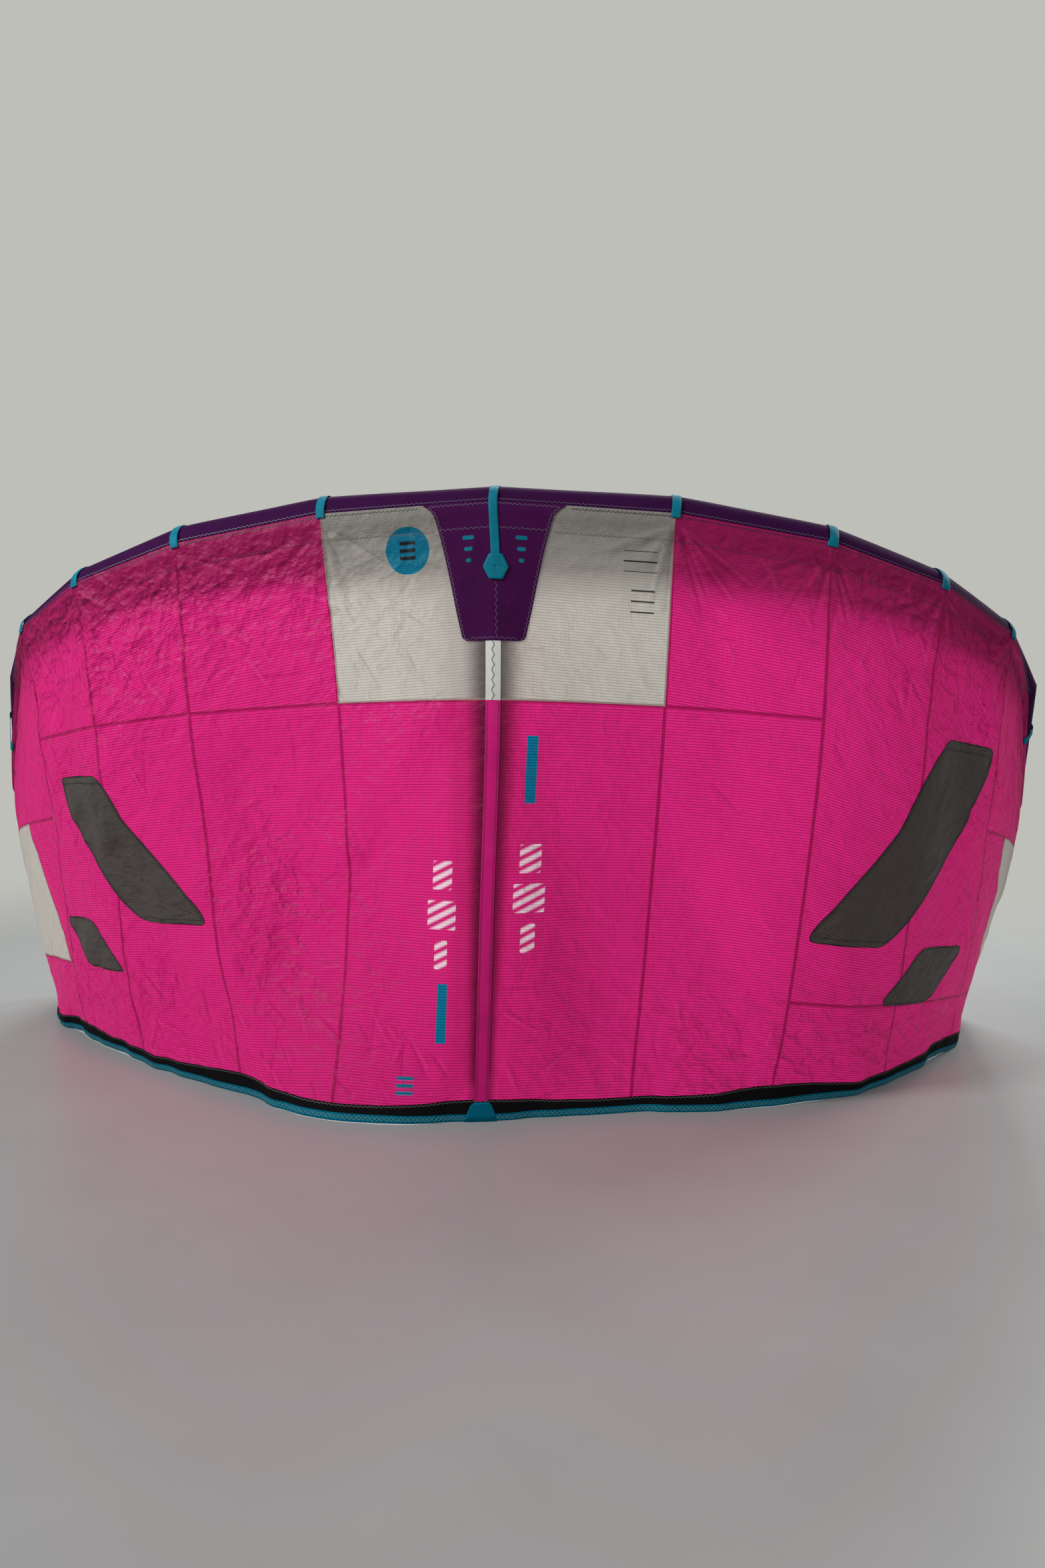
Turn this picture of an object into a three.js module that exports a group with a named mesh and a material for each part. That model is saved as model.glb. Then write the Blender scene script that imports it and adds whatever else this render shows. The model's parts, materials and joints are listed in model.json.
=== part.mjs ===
// Kitesurfing kite standing on its trailing edge, with the leading edge up, the outer side of the
// canopy towards -Y and the wing tips curling away towards +Y.
// Units are millimetres: +Z up, +X along the span, the floor at z = 0.

import * as THREE from 'three';

// ---------------------------------------------------------------- sizes and tables

const CLOTH = 1.5;            // thickness of a canopy panel
const GAP = 0.4;              // clearance between two layers or two neighbouring pieces
const TUBE_GAP = 0.9;         // clearance from an inflated tube to the canopy on it
const TUBE_SIDES = 24;        // facets round a leading edge segment
const TURN_GAP = 2.4;         // more of it between joints, where the canopy turns round the tube
const TURN_LEAST = 0.16;      // share of that at the joints
const TIP_GAP = 3;            // and more past the last straight joint, where the seam turns round it
const TIP_RANGE = [4, 4.3];   // stations between which it grows
const SEAM_ANGLE = 19;        // degrees round the tube on which the canopy lies
const WRAP_END = 0.025;       // share of the profile that lies on the tube
const HEM_HEIGHT = 20;        // teal binding along the trailing edge
const HEM_THICK = 3;          // the binding is folded round the edge
const BAND_HEIGHT = 27;       // black band above the binding
const BAND_WAVE = 8;          // how much its height varies
const BAND_DRIFT = 0.15;      // unevenness of the waves, in stations
const STRAP_HALF_WIDTH = 11;
const STRAP_THICK = 1.2;
const STRIP_HALF_WIDTH = 20;  // seam strip over the strut
const STRUT_RADIUS = 52;      // at the leading edge
const STRUT_END_RADIUS = 27;  // near the trailing edge
const LAYER = CLOTH + GAP;    // inner face of a piece sewn over the canopy

// One row for each rib station, counted from the centre; minus is the left half.
// le: axis of the leading edge tube and its radius. turn: degrees round the tube from its outermost
// line to where the canopy leaves it. up and lo: the canopy at two thirds and at one third of its
// height. hem: the trailing edge on the floor. mid, tip and low: where the seams across the panels
// meet the rib, as a share of its length.
const COLUMNS = ['at', 'leX', 'leY', 'leZ', 'leR', 'turn', 'upX', 'upY', 'loX', 'loY', 'hemX', 'hemY',
  'mid', 'tip', 'low'];
const STATION_ROWS = [
  [-7, -1530, 1000, 400, 30, 0, -1565, 1040, -1565, 1080, -1540, 1120, 0.12, 0.41, 0.79],
  [-6, -1575, 770, 770, 40, 0, -1600, 860, -1580, 920, -1535, 990, 0.17, 0.41, 0.79],
  [-5, -1463, 550, 1112, 48, -58, -1550, 640, -1519, 700, -1480, 790, 0.21, 0.41, 0.79],
  [-4, -1324, 360, 1246, 55, 0, -1318, 370, -1307, 460, -1305, 575, 0.245, 0.424, 0.79],
  [-3, -1105, 210, 1353, 64, 0, -1082, 165, -1068, 250, -1038, 348, 0.272, 0.46, 0.79],
  [-2, -820, 150, 1445, 74, 0, -800, 100, -745, 120, -683, 115, 0.291, 0.46, 0.79],
  [-1, -437, 135, 1510, 82, 0, -392, 50, -376, 65, -393, -64, 0.302, 0.46, 0.80],
  [0, 0, 118, 1528, 86, 0, 10, -35, -1, -55, -14, -38, 0.306, 0.46, 0.80],
  [1, 452, 135, 1510, 82, 0, 436, 50, 406, 90, 364, 63, 0.302, 0.46, 0.80],
  [2, 837, 150, 1445, 74, 0, 834, 80, 797, 120, 740, 136, 0.291, 0.46, 0.802],
  [3, 1117, 210, 1353, 64, 0, 1113, 170, 1108, 270, 1070, 361, 0.272, 0.46, 0.822],
  [4, 1330, 360, 1246, 55, 0, 1355, 400, 1357, 530, 1345, 721, 0.245, 0.424, 0.844],
  [5, 1463, 550, 1112, 48, -58, 1512, 660, 1462, 760, 1395, 860, 0.21, 0.41, 0.844],
  [6, 1510, 770, 770, 40, 0, 1525, 880, 1490, 950, 1435, 1010, 0.17, 0.41, 0.844],
  [7, 1480, 1000, 400, 30, 0, 1505, 1040, 1500, 1080, 1465, 1130, 0.12, 0.41, 0.844],
];

// Where a seam along a rib kinks sideways: the station, its place along the rib, how far the kink
// reaches and how much it shifts, in stations.
const KINK_COLUMNS = ['at', 'v', 'reach', 'shift'];
const KINK_ROWS = [
  [-1, 0.575, 0.08, 0.036],
  [-2, 0.87, 0.08, 0.05],
];

// Soft folds of the canopy, from one point (u, v) to another: half-width and height in mm, plus is
// a ridge on the outer side and minus a trough. u counts stations, v runs from the leading edge, 0,
// to the trailing edge, 1.
const FOLD_COLUMNS = ['u0', 'v0', 'u1', 'v1', 'width', 'height'];
const FOLD_ROWS = [
  [-0.45, 0.34, -1.0, 0.54, 60, 16],
  [-1.0, 0.54, -0.85, 0.80, 55, 12],
  [-1.60, 0.42, -1.35, 0.76, 110, -26],
  [-2.1, 0.62, -1.7, 0.94, 60, 14],
  [-2.9, 0.55, -2.4, 0.90, 90, -18],
  [-3.6, 0.20, -3.3, 0.52, 60, -12],
  [0.35, 0.42, 0.75, 0.90, 90, -14],
  [1.25, 0.12, 1.5, 0.46, 60, -10],
  [1.3, 0.60, 1.75, 0.92, 90, -16],
  [2.3, 0.66, 2.7, 0.95, 70, 12],
  [3.5, 0.25, 3.4, 0.66, 80, -12],
];

// Levels where a row of facets ends. Three of them stand for the seams across the panels, which are
// moved to their places along with the levels around them. Below the last one the rows are spread
// evenly down to the black band.
const LEVELS = [0, 0.0125, 0.025, 0.045, 0.075, 0.10, 0.13, 0.17, 0.2165, 0.26, 0.31, 0.38, 0.45,
  0.51, 0.57, 0.63, 0.69, 0.75, 0.81];
const FIXED_LEVEL = 0.075;    // levels down to this one keep their places
const FOOT_ROWS = 2;
const MID_SEAM = 0.31;
const TIP_SEAM = 0.45;
const LOW_SEAM = 0.81;
const FACETS = [7, 6, 5, 5, 6, 4, 3];   // facets along the span, from the centre column outwards

const COLOUR = {
  pink: 0xd8278a, white: 0xd9d6cf, purple: 0x3d1a5c, teal: 0x128fae, grey: 0x4a4a4a, black: 0x141416,
  strip: 0xc01f78, tube: 0x3d1a5c,
};

// ---------------------------------------------------------------- curves of the kite

const vec = (x, y, z) => new THREE.Vector3(x, y, z);
const lerp = (a, b, t) => a + (b - a) * t;
const smooth = THREE.MathUtils.smoothstep;

const records = (columns, rows) => rows.map((row) => (
  Object.fromEntries(columns.map((name, i) => [name, row[i]]))));
const stations = new Map(records(COLUMNS, STATION_ROWS).map((s) => [s.at, s]));
const kinks = records(KINK_COLUMNS, KINK_ROWS);
const folds = records(FOLD_COLUMNS, FOLD_ROWS);
const TIP = Math.max(...stations.keys());

const axisPoint = (k) => vec(stations.get(k).leX, stations.get(k).leY, stations.get(k).leZ);

// Directions at a joint of the leading edge. A canopy that leaves the tube at its outermost line, out,
// runs straight on from there, against up, to the rib's upper point.
function jointFrame(k) {
  const s = stations.get(k);
  const along = axisPoint(Math.min(k + 1, TIP)).sub(axisPoint(Math.max(k - 1, -TIP))).normalize();
  const chord = vec(s.upX, s.upY, s.leZ * 2 / 3).sub(axisPoint(k));
  chord.addScaledVector(along, -chord.dot(along));
  const sine = (s.leR + TUBE_GAP) / chord.length();
  const cosine = Math.sqrt(1 - sine * sine);
  chord.normalize();
  const side = chord.clone().cross(along).normalize();
  return {
    along,
    out: side.clone().multiplyScalar(cosine).addScaledVector(chord, sine),
    up: side.clone().multiplyScalar(sine).addScaledVector(chord, -cosine),
  };
}
const frames = new Map([...stations.keys()].map((k) => [k, jointFrame(k)]));

// A point on a circle round the tube's axis at a joint; the angle in degrees starts at the outer side.
function ringPoint(k, radius, angle) {
  const { out, up } = frames.get(k);
  const a = THREE.MathUtils.degToRad(angle);
  return axisPoint(k).addScaledVector(out, radius * Math.cos(a)).addScaledVector(up, radius * Math.sin(a));
}

// The rib at a station: an arc on the tube, then a free curve down to the hem.
const ribs = new Map([...stations.values()].map((s) => {
  const start = ringPoint(s.at, s.leR + TUBE_GAP, s.turn);
  const points = [
    start,
    vec(s.upX, s.upY, start.z * 2 / 3),
    vec(s.loX, s.loY, start.z / 3),
    vec(s.hemX, s.hemY, 0),
  ];
  const knots = [WRAP_END, 1 / 3, 2 / 3, 1];
  const slopes = points.map((p, i) => {
    const a = Math.max(i - 1, 0);
    const b = Math.min(i + 1, points.length - 1);
    return points[b].clone().sub(points[a]).divideScalar(knots[b] - knots[a]);
  });
  return [s.at, { points, knots, slopes }];
}));

function ribPoint(k, v) {
  const { points, knots, slopes } = ribs.get(k);
  const s = stations.get(k);
  if (v < WRAP_END) return ringPoint(k, s.leR + TUBE_GAP, s.turn + SEAM_ANGLE * (1 - v / WRAP_END));
  const i = v < knots[1] ? 0 : v < knots[2] ? 1 : 2;
  const span = knots[i + 1] - knots[i];
  const t = (v - knots[i]) / span;
  return vec(0, 0, 0)
    .addScaledVector(points[i], (1 + 2 * t) * (1 - t) ** 2)
    .addScaledVector(slopes[i], t * (1 - t) ** 2 * span)
    .addScaledVector(points[i + 1], t * t * (3 - 2 * t))
    .addScaledVector(slopes[i + 1], t * t * (t - 1) * span);
}

// Moves a point near the leading edge out to the tube's clearance, where the tube's turn brings it in.
function offTube(p, k, t) {
  const a = axisPoint(k);
  const line = axisPoint(k + 1).sub(a);
  const share = THREE.MathUtils.clamp(p.clone().sub(a).dot(line) / line.lengthSq(), 0, 1);
  const foot = a.addScaledVector(line, share);
  const reach = lerp(stations.get(k).leR, stations.get(k + 1).leR, t) + TUBE_GAP
    + TURN_GAP * (TURN_LEAST + t * (1 - t)) + TIP_GAP * smooth(Math.abs(k + t), ...TIP_RANGE);
  const away = p.clone().sub(foot);
  return away.length() < reach ? foot.addScaledVector(away.normalize(), reach) : p;
}

// The canopy's inner face without folds: straight between joints on the tube, rounded at the hem.
const ROUNDING = [0.05, 0.6];     // the levels between which it turns from straight to rounded

function bareSurface(u, v) {
  const k = THREE.MathUtils.clamp(Math.floor(u), -TIP, TIP - 1);
  const t = u - k;
  const p0 = ribPoint(Math.max(k - 1, -TIP), v);
  const p1 = ribPoint(k, v);
  const p2 = ribPoint(k + 1, v);
  const p3 = ribPoint(Math.min(k + 2, TIP), v);
  const straight = p1.clone().lerp(p2, t);
  const round = vec(0, 0, 0)
    .addScaledVector(p0, -0.5 * t + t * t - 0.5 * t ** 3)
    .addScaledVector(p1, 1 - 2.5 * t * t + 1.5 * t ** 3)
    .addScaledVector(p2, 0.5 * t + 2 * t * t - 1.5 * t ** 3)
    .addScaledVector(p3, -0.5 * t * t + 0.5 * t ** 3);
  return offTube(straight.lerp(round, smooth(v, ...ROUNDING)), k, t);
}

const STEP_U = 0.02;      // steps for the directions of the surface
const STEP_V = 0.002;

function outward(u, v) {
  const du = bareSurface(Math.min(u + STEP_U, TIP), v)
    .sub(bareSurface(Math.max(u - STEP_U, -TIP), v));
  const dv = bareSurface(u, Math.min(v + STEP_V, 1))
    .sub(bareSurface(u, Math.max(v - STEP_V, 0)));
  return dv.cross(du).normalize();
}

const FOLD_SPAN = 360;     // mm along the span for one u, where the folds are measured
const FOLD_DROP = 1500;    // mm down the canopy for v from 0 to 1
const FADE_IN = [0.06, 0.16];     // the levels between which the folds begin
const FADE_OUT = [0.93, 0.995];   // and end

function foldHeight(u, v) {
  const fade = smooth(v, ...FADE_IN) * (1 - smooth(v, ...FADE_OUT));
  return fade * folds.reduce((sum, f) => {
    const ax = (f.u1 - f.u0) * FOLD_SPAN;
    const ay = (f.v1 - f.v0) * FOLD_DROP;
    const px = (u - f.u0) * FOLD_SPAN;
    const py = (v - f.v0) * FOLD_DROP;
    const t = THREE.MathUtils.clamp((px * ax + py * ay) / (ax * ax + ay * ay), 0, 1);
    const distance = Math.hypot(px - t * ax, py - t * ay) / f.width;
    return sum + f.height * Math.exp(-distance * distance);
  }, 0);
}

// A point at a distance outward from the canopy's inner face.
function canopyPoint(u, v, distance) {
  const n = outward(u, v);
  const p = bareSurface(u, v).addScaledVector(n, foldHeight(u, v) + distance);
  if (v >= 1) p.z = 0;
  return p;
}

const freeHeight = (u) => bareSurface(u, WRAP_END).z;
const above = (u, height) => 1 - height / freeHeight(u);     // v at a height above the hem

// The place of a level on the canopy: the levels of the seams go to the seams, and the others follow.
function placeOf(level, u) {
  if (level <= FIXED_LEVEL) return level;
  const k = THREE.MathUtils.clamp(Math.floor(u), -TIP, TIP - 1);
  const between = (name) => lerp(stations.get(k)[name], stations.get(k + 1)[name], u - k);
  const knots = [
    [FIXED_LEVEL, FIXED_LEVEL],
    [MID_SEAM, between('mid')],
    [TIP_SEAM, between('tip')],
    [LOW_SEAM, between('low')],
    [1, 1],
  ];
  const i = knots.findIndex(([nominal]) => level <= nominal);
  const [[a, from], [b, to]] = [knots[i - 1], knots[i]];
  return lerp(from, to, (level - a) / (b - a));
}

// The seam along a rib, in u.
const seamLine = (k, v) => kinks.filter((kink) => kink.at === k).reduce(
  (u, { v: middle, reach, shift }) => u + shift * Math.exp(-(((v - middle) / reach) ** 2)), k);

// ---------------------------------------------------------------- closed solids

// A geometry from points and triangles, turned so that its faces point out.
function closed(points, triangles) {
  const volume = triangles.reduce((sum, [a, b, c]) => (
    sum + points[a].dot(points[b].clone().cross(points[c]))), 0);
  const order = volume < 0 ? triangles.map(([a, b, c]) => [a, c, b]) : triangles;
  const geometry = new THREE.BufferGeometry().setFromPoints(points);
  geometry.setIndex(order.flat());
  geometry.computeVertexNormals();
  return geometry;
}

// A solid between two equal grids of points. Each four-sided facet is split from its first corner to
// the opposite one, or the other way where cross is set, so that layers on each other stay parallel.
function slab(inner, outer, cross) {
  const rows = inner.length;
  const cols = inner[0].length;
  const at = (side, r, c) => (side * rows + r) * cols + c;
  const triangles = [];
  const quad = (a, b, c, d) => triangles.push([a, b, c], [a, c, d]);
  for (let r = 0; r < rows - 1; r++) {
    for (let c = 0; c < cols - 1; c++) {
      for (const side of [0, 1]) {
        const corners = [at(side, r, c), at(side, r + 1, c), at(side, r + 1, c + 1), at(side, r, c + 1)];
        if (cross) corners.push(corners.shift());
        if (side === 0) corners.reverse().unshift(corners.pop());
        quad(...corners);
      }
    }
  }
  for (let c = 0; c < cols - 1; c++) {
    quad(at(0, 0, c), at(1, 0, c), at(1, 0, c + 1), at(0, 0, c + 1));
    quad(at(0, rows - 1, c), at(0, rows - 1, c + 1), at(1, rows - 1, c + 1), at(1, rows - 1, c));
  }
  for (let r = 0; r < rows - 1; r++) {
    quad(at(0, r, 0), at(0, r + 1, 0), at(1, r + 1, 0), at(1, r, 0));
    quad(at(0, r, cols - 1), at(1, r, cols - 1), at(1, r + 1, cols - 1), at(0, r + 1, cols - 1));
  }
  return closed([...inner.flat(), ...outer.flat()], triangles);
}

// A solid through rings of equal count, closed by a fan at each end.
function loft(rings) {
  const sides = rings[0].length;
  const points = rings.flat();
  const triangles = [];
  for (let r = 0; r < rings.length - 1; r++) {
    for (let i = 0; i < sides; i++) {
      const a = r * sides + i;
      const b = r * sides + (i + 1) % sides;
      triangles.push([a, b, b + sides], [a, b + sides, a + sides]);
    }
  }
  for (const r of [0, rings.length - 1]) {
    const middle = points.length;
    points.push(rings[r].reduce((sum, p) => sum.add(p), vec(0, 0, 0)).divideScalar(sides));
    for (let i = 0; i < sides; i++) {
      const a = r * sides + i;
      const b = r * sides + (i + 1) % sides;
      triangles.push(r === 0 ? [middle, b, a] : [middle, a, b]);
    }
  }
  return closed(points, triangles);
}

const group = new THREE.Group();

function add(name, geometry, colour, roughness = 0.7) {
  const material = new THREE.MeshStandardMaterial({ color: colour, roughness, metalness: 0 });
  const mesh = new THREE.Mesh(geometry, material);
  mesh.name = name;
  group.add(mesh);
}

// ---------------------------------------------------------------- canopy

const sideName = (k) => (k < 0 ? 'left' : 'right');

// The facet lines along the span, from tip to tip.
const SPAN_LINES = [-TIP];
for (let k = -TIP; k < TIP; k++) {
  const count = FACETS[k < 0 ? -k - 1 : k];
  for (let i = 1; i <= count; i++) SPAN_LINES.push(k + i / count);
}
const spanSteps = (low, high, from = low, to = high) => [
  from, ...SPAN_LINES.filter((u) => u > low + 0.02 && u < high - 0.02), to,
];

const SEAM_U = 0.0008;      // half a seam's clearance along the span
const SEAM_V = 0.0003;      // and down the canopy
const bandHeight = (u) => (
  BAND_HEIGHT + BAND_WAVE * Math.cos(Math.PI * (u + BAND_DRIFT * Math.sin(3 * u))));
const bandTop = (u) => above(u, HEM_HEIGHT + bandHeight(u));

// Rows of a panel as functions of u, from one seam to another or to the band where bottom is null.
function panelRows(top, bottom) {
  const end = bottom ?? LOW_SEAM;
  const inside = LEVELS.filter((v) => v > top + 0.001 && v < end - 0.001);
  const rows = inside.map((level) => (u) => placeOf(level, u));
  rows.unshift((u) => (top === 0 ? 0 : placeOf(top, u) + SEAM_V));
  if (bottom) return [...rows, (u) => placeOf(bottom, u) - SEAM_V];
  if (top < LOW_SEAM) rows.push((u) => placeOf(LOW_SEAM, u));
  for (let i = 1; i < FOOT_ROWS; i++) {
    rows.push((u) => lerp(placeOf(LOW_SEAM, u), bandTop(u), i / FOOT_ROWS));
  }
  return [...rows, (u) => bandTop(u) - SEAM_V];
}

// A piece over a grid of (u, v) pairs, between two distances above the canopy's inner face.
const cloth = (pairs, low, high, cross) => slab(
  pairs.map((row) => row.map(([u, v]) => canopyPoint(u, v, low))),
  pairs.map((row) => row.map(([u, v]) => canopyPoint(u, v, high))),
  cross,
);

// A panel between two seams across. Its lines give the places along the span for a row and for the
// share of the panel's rows above it.
function panel(name, lines, top, bottom, colour) {
  const rows = panelRows(top, bottom);
  const pairs = rows.map((row, r) => lines(row, r / (rows.length - 1)).map((u) => [u, row(u)]));
  add(name, cloth(pairs, 0, CLOTH, pairs[0][0][0] > -0.5), colour);
}

const ribLines = (a, b) => {
  const [low, high] = [Math.min(a, b), Math.max(a, b)];
  return (row) => {
    const [from, to] = [seamLine(low, row(low)) + SEAM_U, seamLine(high, row(high)) - SEAM_U];
    return spanSteps(low, high, from, to);
  };
};

// Columns between stations, and the seams that split them, from the leading edge down.
function canopyHalf(side) {
  const word = sideName(side);
  const outerTop = side < 0 ? MID_SEAM : LOW_SEAM;
  const columns = [
    ['inner', 0, 1, MID_SEAM, COLOUR.white],
    ['second', 1, 2, MID_SEAM, COLOUR.pink],
    ['third', 2, 3, outerTop, COLOUR.pink],
    ['fourth', 3, 4, outerTop, COLOUR.pink],
  ];
  for (const [column, a, b, seam, colour] of columns) {
    const lines = ribLines(side * a, side * b);
    panel(`canopy_${column}_upper_${word}`, lines, 0, seam, colour);
    panel(`canopy_${column}_lower_${word}`, lines, seam, null, COLOUR.pink);
  }
  const tipLines = ribLines(side * 4, side * TIP);
  panel(`canopy_tip_upper_${word}`, tipLines, 0, TIP_SEAM, COLOUR.pink);
  panel(`canopy_tip_lower_${word}`, tipLines, LOW_SEAM, null, COLOUR.pink);
  wingTip(side, word);
}

// The white tip panel and the pink wedge beside it share a slanted seam.
const SLANT_COLUMNS = ['side', 'top', 'bottom'];
const SLANT_ROWS = [[-1, 4.6, 4.05], [1, 4.5, 4.7]];
const SLANT_GAP = 0.0016;    // more clearance below them, where the facet lines don't meet
const WEDGE_LINES = 5;

function wingTip(side, word) {
  const { top, bottom } = records(SLANT_COLUMNS, SLANT_ROWS).find((row) => row.side === side);
  const edge = TIP - SEAM_U;
  const order = (list) => (side < 0 ? list.map((u) => -u).reverse() : list);
  const wedge = (row, t) => {
    const [from, to] = [4 + SEAM_U, lerp(top, bottom, t) - SEAM_U];
    return order(Array.from({ length: WEDGE_LINES }, (_, i) => lerp(from, to, i / (WEDGE_LINES - 1))));
  };
  const white = (row, t) => {
    const from = lerp(top, bottom, t) + SEAM_U;
    return order(spanSteps(top, edge).map((u) => lerp(from, edge, (u - top) / (edge - top))));
  };
  panel(`canopy_tip_wedge_${word}`, wedge, TIP_SEAM, LOW_SEAM - SLANT_GAP, COLOUR.pink);
  panel(`canopy_tip_white_${word}`, white, TIP_SEAM, LOW_SEAM - SLANT_GAP, COLOUR.white);
}

canopyHalf(-1);
canopyHalf(1);

// ---------------------------------------------------------------- trailing edge

const heightRow = (us, height) => us.map((u) => [u, above(u, height(u))]);
const edgeLines = spanSteps(-TIP, TIP);
add('hem_binding', cloth([
  heightRow(edgeLines, () => HEM_HEIGHT - GAP / 2), edgeLines.map((u) => [u, 1]),
], 0, HEM_THICK), COLOUR.teal);
add('hem_band', cloth([
  edgeLines.map((u) => [u, bandTop(u) + SEAM_V]), heightRow(edgeLines, () => HEM_HEIGHT + GAP / 2),
], 0, CLOTH), COLOUR.black);

const HEM_PATCH = [[30, 50], [38, 34], [40, 16], [40, 0]];    // half-width and height, from the top
const perMm = (k) => 1 / Math.abs(stations.get(k + 1).hemX - stations.get(k).hemX);
add('hem_patch', cloth(HEM_PATCH.map(([half, height]) => (
  [-half, 0, half].map((x) => [x * perMm(0), height > 0 ? above(0, height) : 1])
)), HEM_THICK + GAP, HEM_THICK + GAP + STRAP_THICK), COLOUR.teal);

// ---------------------------------------------------------------- centre pieces

const spanPerMm = 1 / stations.get(1).leX;
const PATCH_COLUMNS = ['level', 'half'];
const PATCH_ROWS = [
  [0, 184],
  [0.0125, 165],
  [0.025, 152],
  [0.045, 143],
  [0.075, 131],
  [0.10, 122],
  [0.13, 113],
  [0.17, 99],
  [0.2165, 80],
];
const PATCH_BASE = LAYER + 0.8;     // the canopy's facets turn under it
const PATCH_TOP = PATCH_BASE + CLOTH;
const STRAP_BASE = PATCH_TOP + 2 * GAP;
add('centre_patch', cloth(records(PATCH_COLUMNS, PATCH_ROWS).map(({ level, half }) => (
  [-1, -0.5, 0, 0.5, 1].map((s) => [s * half * spanPerMm, placeOf(level, 0)]))),
PATCH_BASE, PATCH_TOP), COLOUR.purple);

const HEXAGON = { v: 0.107, x: 8, radius: 33 };
const HEXAGON_BASE = STRAP_BASE + 2 * GAP;    // it bridges the bend of the canopy at the centre
const hexagonHeight = HEXAGON.radius * Math.cos(Math.PI / 6) / FOLD_DROP;
add('centre_hexagon', cloth([-1, 0, 1].map((row) => [-1, 0, 1].map((s) => {
  const x = HEXAGON.x + s * HEXAGON.radius * (row === 0 ? 1 : 0.5);
  return [x * spanPerMm, HEXAGON.v + row * hexagonHeight];
})), HEXAGON_BASE, HEXAGON_BASE + STRAP_THICK), COLOUR.teal);

function strip(name, top, bottom, colour) {
  const rows = panelRows(top, bottom);
  const half = STRIP_HALF_WIDTH * spanPerMm;
  const pairs = rows.map((row) => [-half, 0, half].map((u) => [u, row(u)]));
  add(name, cloth(pairs, LAYER, LAYER + STRAP_THICK), colour);
}
strip('strut_strip_white', PATCH_ROWS.at(-1)[0] + SEAM_V, MID_SEAM, COLOUR.white);
strip('strut_strip_pink', MID_SEAM, null, COLOUR.strip);

// ---------------------------------------------------------------- inflated tubes

const ring = (k, radius, shift) => Array.from({ length: TUBE_SIDES }, (_, i) => (
  ringPoint(k, radius, (360 * i) / TUBE_SIDES).addScaledVector(frames.get(k).along, shift)));

const JOINTS = TIP - 2;       // joints with a strap on each side of the centre
const END_DOME = [[0.8, 0.6], [0.4, 0.92]];    // share of the radius, and how far out

for (const side of [-1, 1]) {
  for (let i = 0; i <= JOINTS; i++) {
    const from = side * i;
    const gap = side * GAP / 2;
    const rings = [ring(from, stations.get(from).leR, gap)];
    if (i < JOINTS) {
      const to = side * (i + 1);
      rings.push(ring(to, stations.get(to).leR, -gap));
    } else {
      for (const k of [side * (TIP - 1), side * TIP]) rings.push(ring(k, stations.get(k).leR, 0));
      const end = stations.get(side * TIP).leR;
      for (const [share, out] of END_DOME) rings.push(ring(side * TIP, end * share, side * end * out));
    }
    add(`leading_edge_${i + 1}_${sideName(side)}`, loft(rings), COLOUR.tube, 0.55);
  }
}

// The strut lies behind the canopy. Its top is cut to the round of the leading edge.
const STRUT_SIDES = 16;
const STRUT_ROWS = [0.10, 0.18, 0.26, 0.34, 0.42, 0.5, 0.58, 0.66, 0.74, 0.82, 0.9];
const STRUT_TOP = 0.06;
const STRUT_TOP_SHARES = [0.25, 0.6, 1];
const STRUT_END = [[0.915, 0.8], [0.922, 0.45]];
const STRUT_GAP = 1.6;        // to the canopy
const STRUT_CLEAR = 4;        // from the top of the strut to the leading edge
const STRUT_LIP = 15;         // how far the top reaches up in front of the leading edge

const strutRadius = (v) => {
  const share = (v - STRUT_TOP) / (STRUT_ROWS.at(-1) - STRUT_TOP);
  return lerp(STRUT_RADIUS, STRUT_END_RADIUS, Math.min(share, 1));
};

function strutRing(v, radius, cutToTube) {
  const centre = canopyPoint(0, v, -(strutRadius(v) + STRUT_GAP));
  const out = outward(0, v);
  const s = stations.get(0);
  return Array.from({ length: STRUT_SIDES }, (_, i) => {
    const a = (2 * Math.PI * i) / STRUT_SIDES;
    const p = centre.clone().addScaledVector(vec(1, 0, 0), radius * Math.cos(a));
    p.addScaledVector(out, radius * Math.sin(a));
    const reach = s.leR + STRUT_CLEAR;
    const under = Math.sqrt(Math.max(reach ** 2 - (p.y - s.leY) ** 2, 0));
    if (cutToTube) p.z = Math.min(s.leZ - under, centre.z + STRUT_LIP);
    return p;
  });
}
add('centre_strut', loft([
  ...STRUT_TOP_SHARES.map((share) => strutRing(STRUT_TOP, STRUT_RADIUS * share, true)),
  ...STRUT_ROWS.map((v) => strutRing(v, strutRadius(v))),
  ...STRUT_END.map(([v, share]) => strutRing(v, STRUT_END_RADIUS * share)),
]), COLOUR.pink);

// ---------------------------------------------------------------- straps round the leading edge

const STRAP_ANGLES = [24, 30, 45, 60, 75, 90, 105, 120, 135, 150, 165, 180, 195, 210];
const STRAP_SHIFT = { at: 5, along: 150, lift: 0.8 };     // the last strap sits past its joint

// A point round the tube at a distance in mm along the leading edge from a joint.
function besideJoint(k, along, angle, lift) {
  const next = along < 0 ? k - 1 : k + 1;
  const here = ringPoint(k, stations.get(k).leR + lift, angle);
  if (along === 0) return here;
  const there = ringPoint(next, stations.get(next).leR + lift, angle);
  return here.lerp(there, Math.abs(along) / axisPoint(k).distanceTo(axisPoint(next)));
}

const ACROSS = [-STRAP_HALF_WIDTH, 0, STRAP_HALF_WIDTH];
function jointStrap(k) {
  const last = Math.abs(k) === STRAP_SHIFT.at;
  const along = last ? Math.sign(k) * STRAP_SHIFT.along : 0;
  const base = last ? GAP + STRAP_SHIFT.lift : GAP;
  const layer = (lift) => STRAP_ANGLES.map((angle) => (
    ACROSS.map((x) => besideJoint(k, along + x, angle, lift))));
  return slab(layer(base), layer(base + STRAP_THICK));
}

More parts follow.
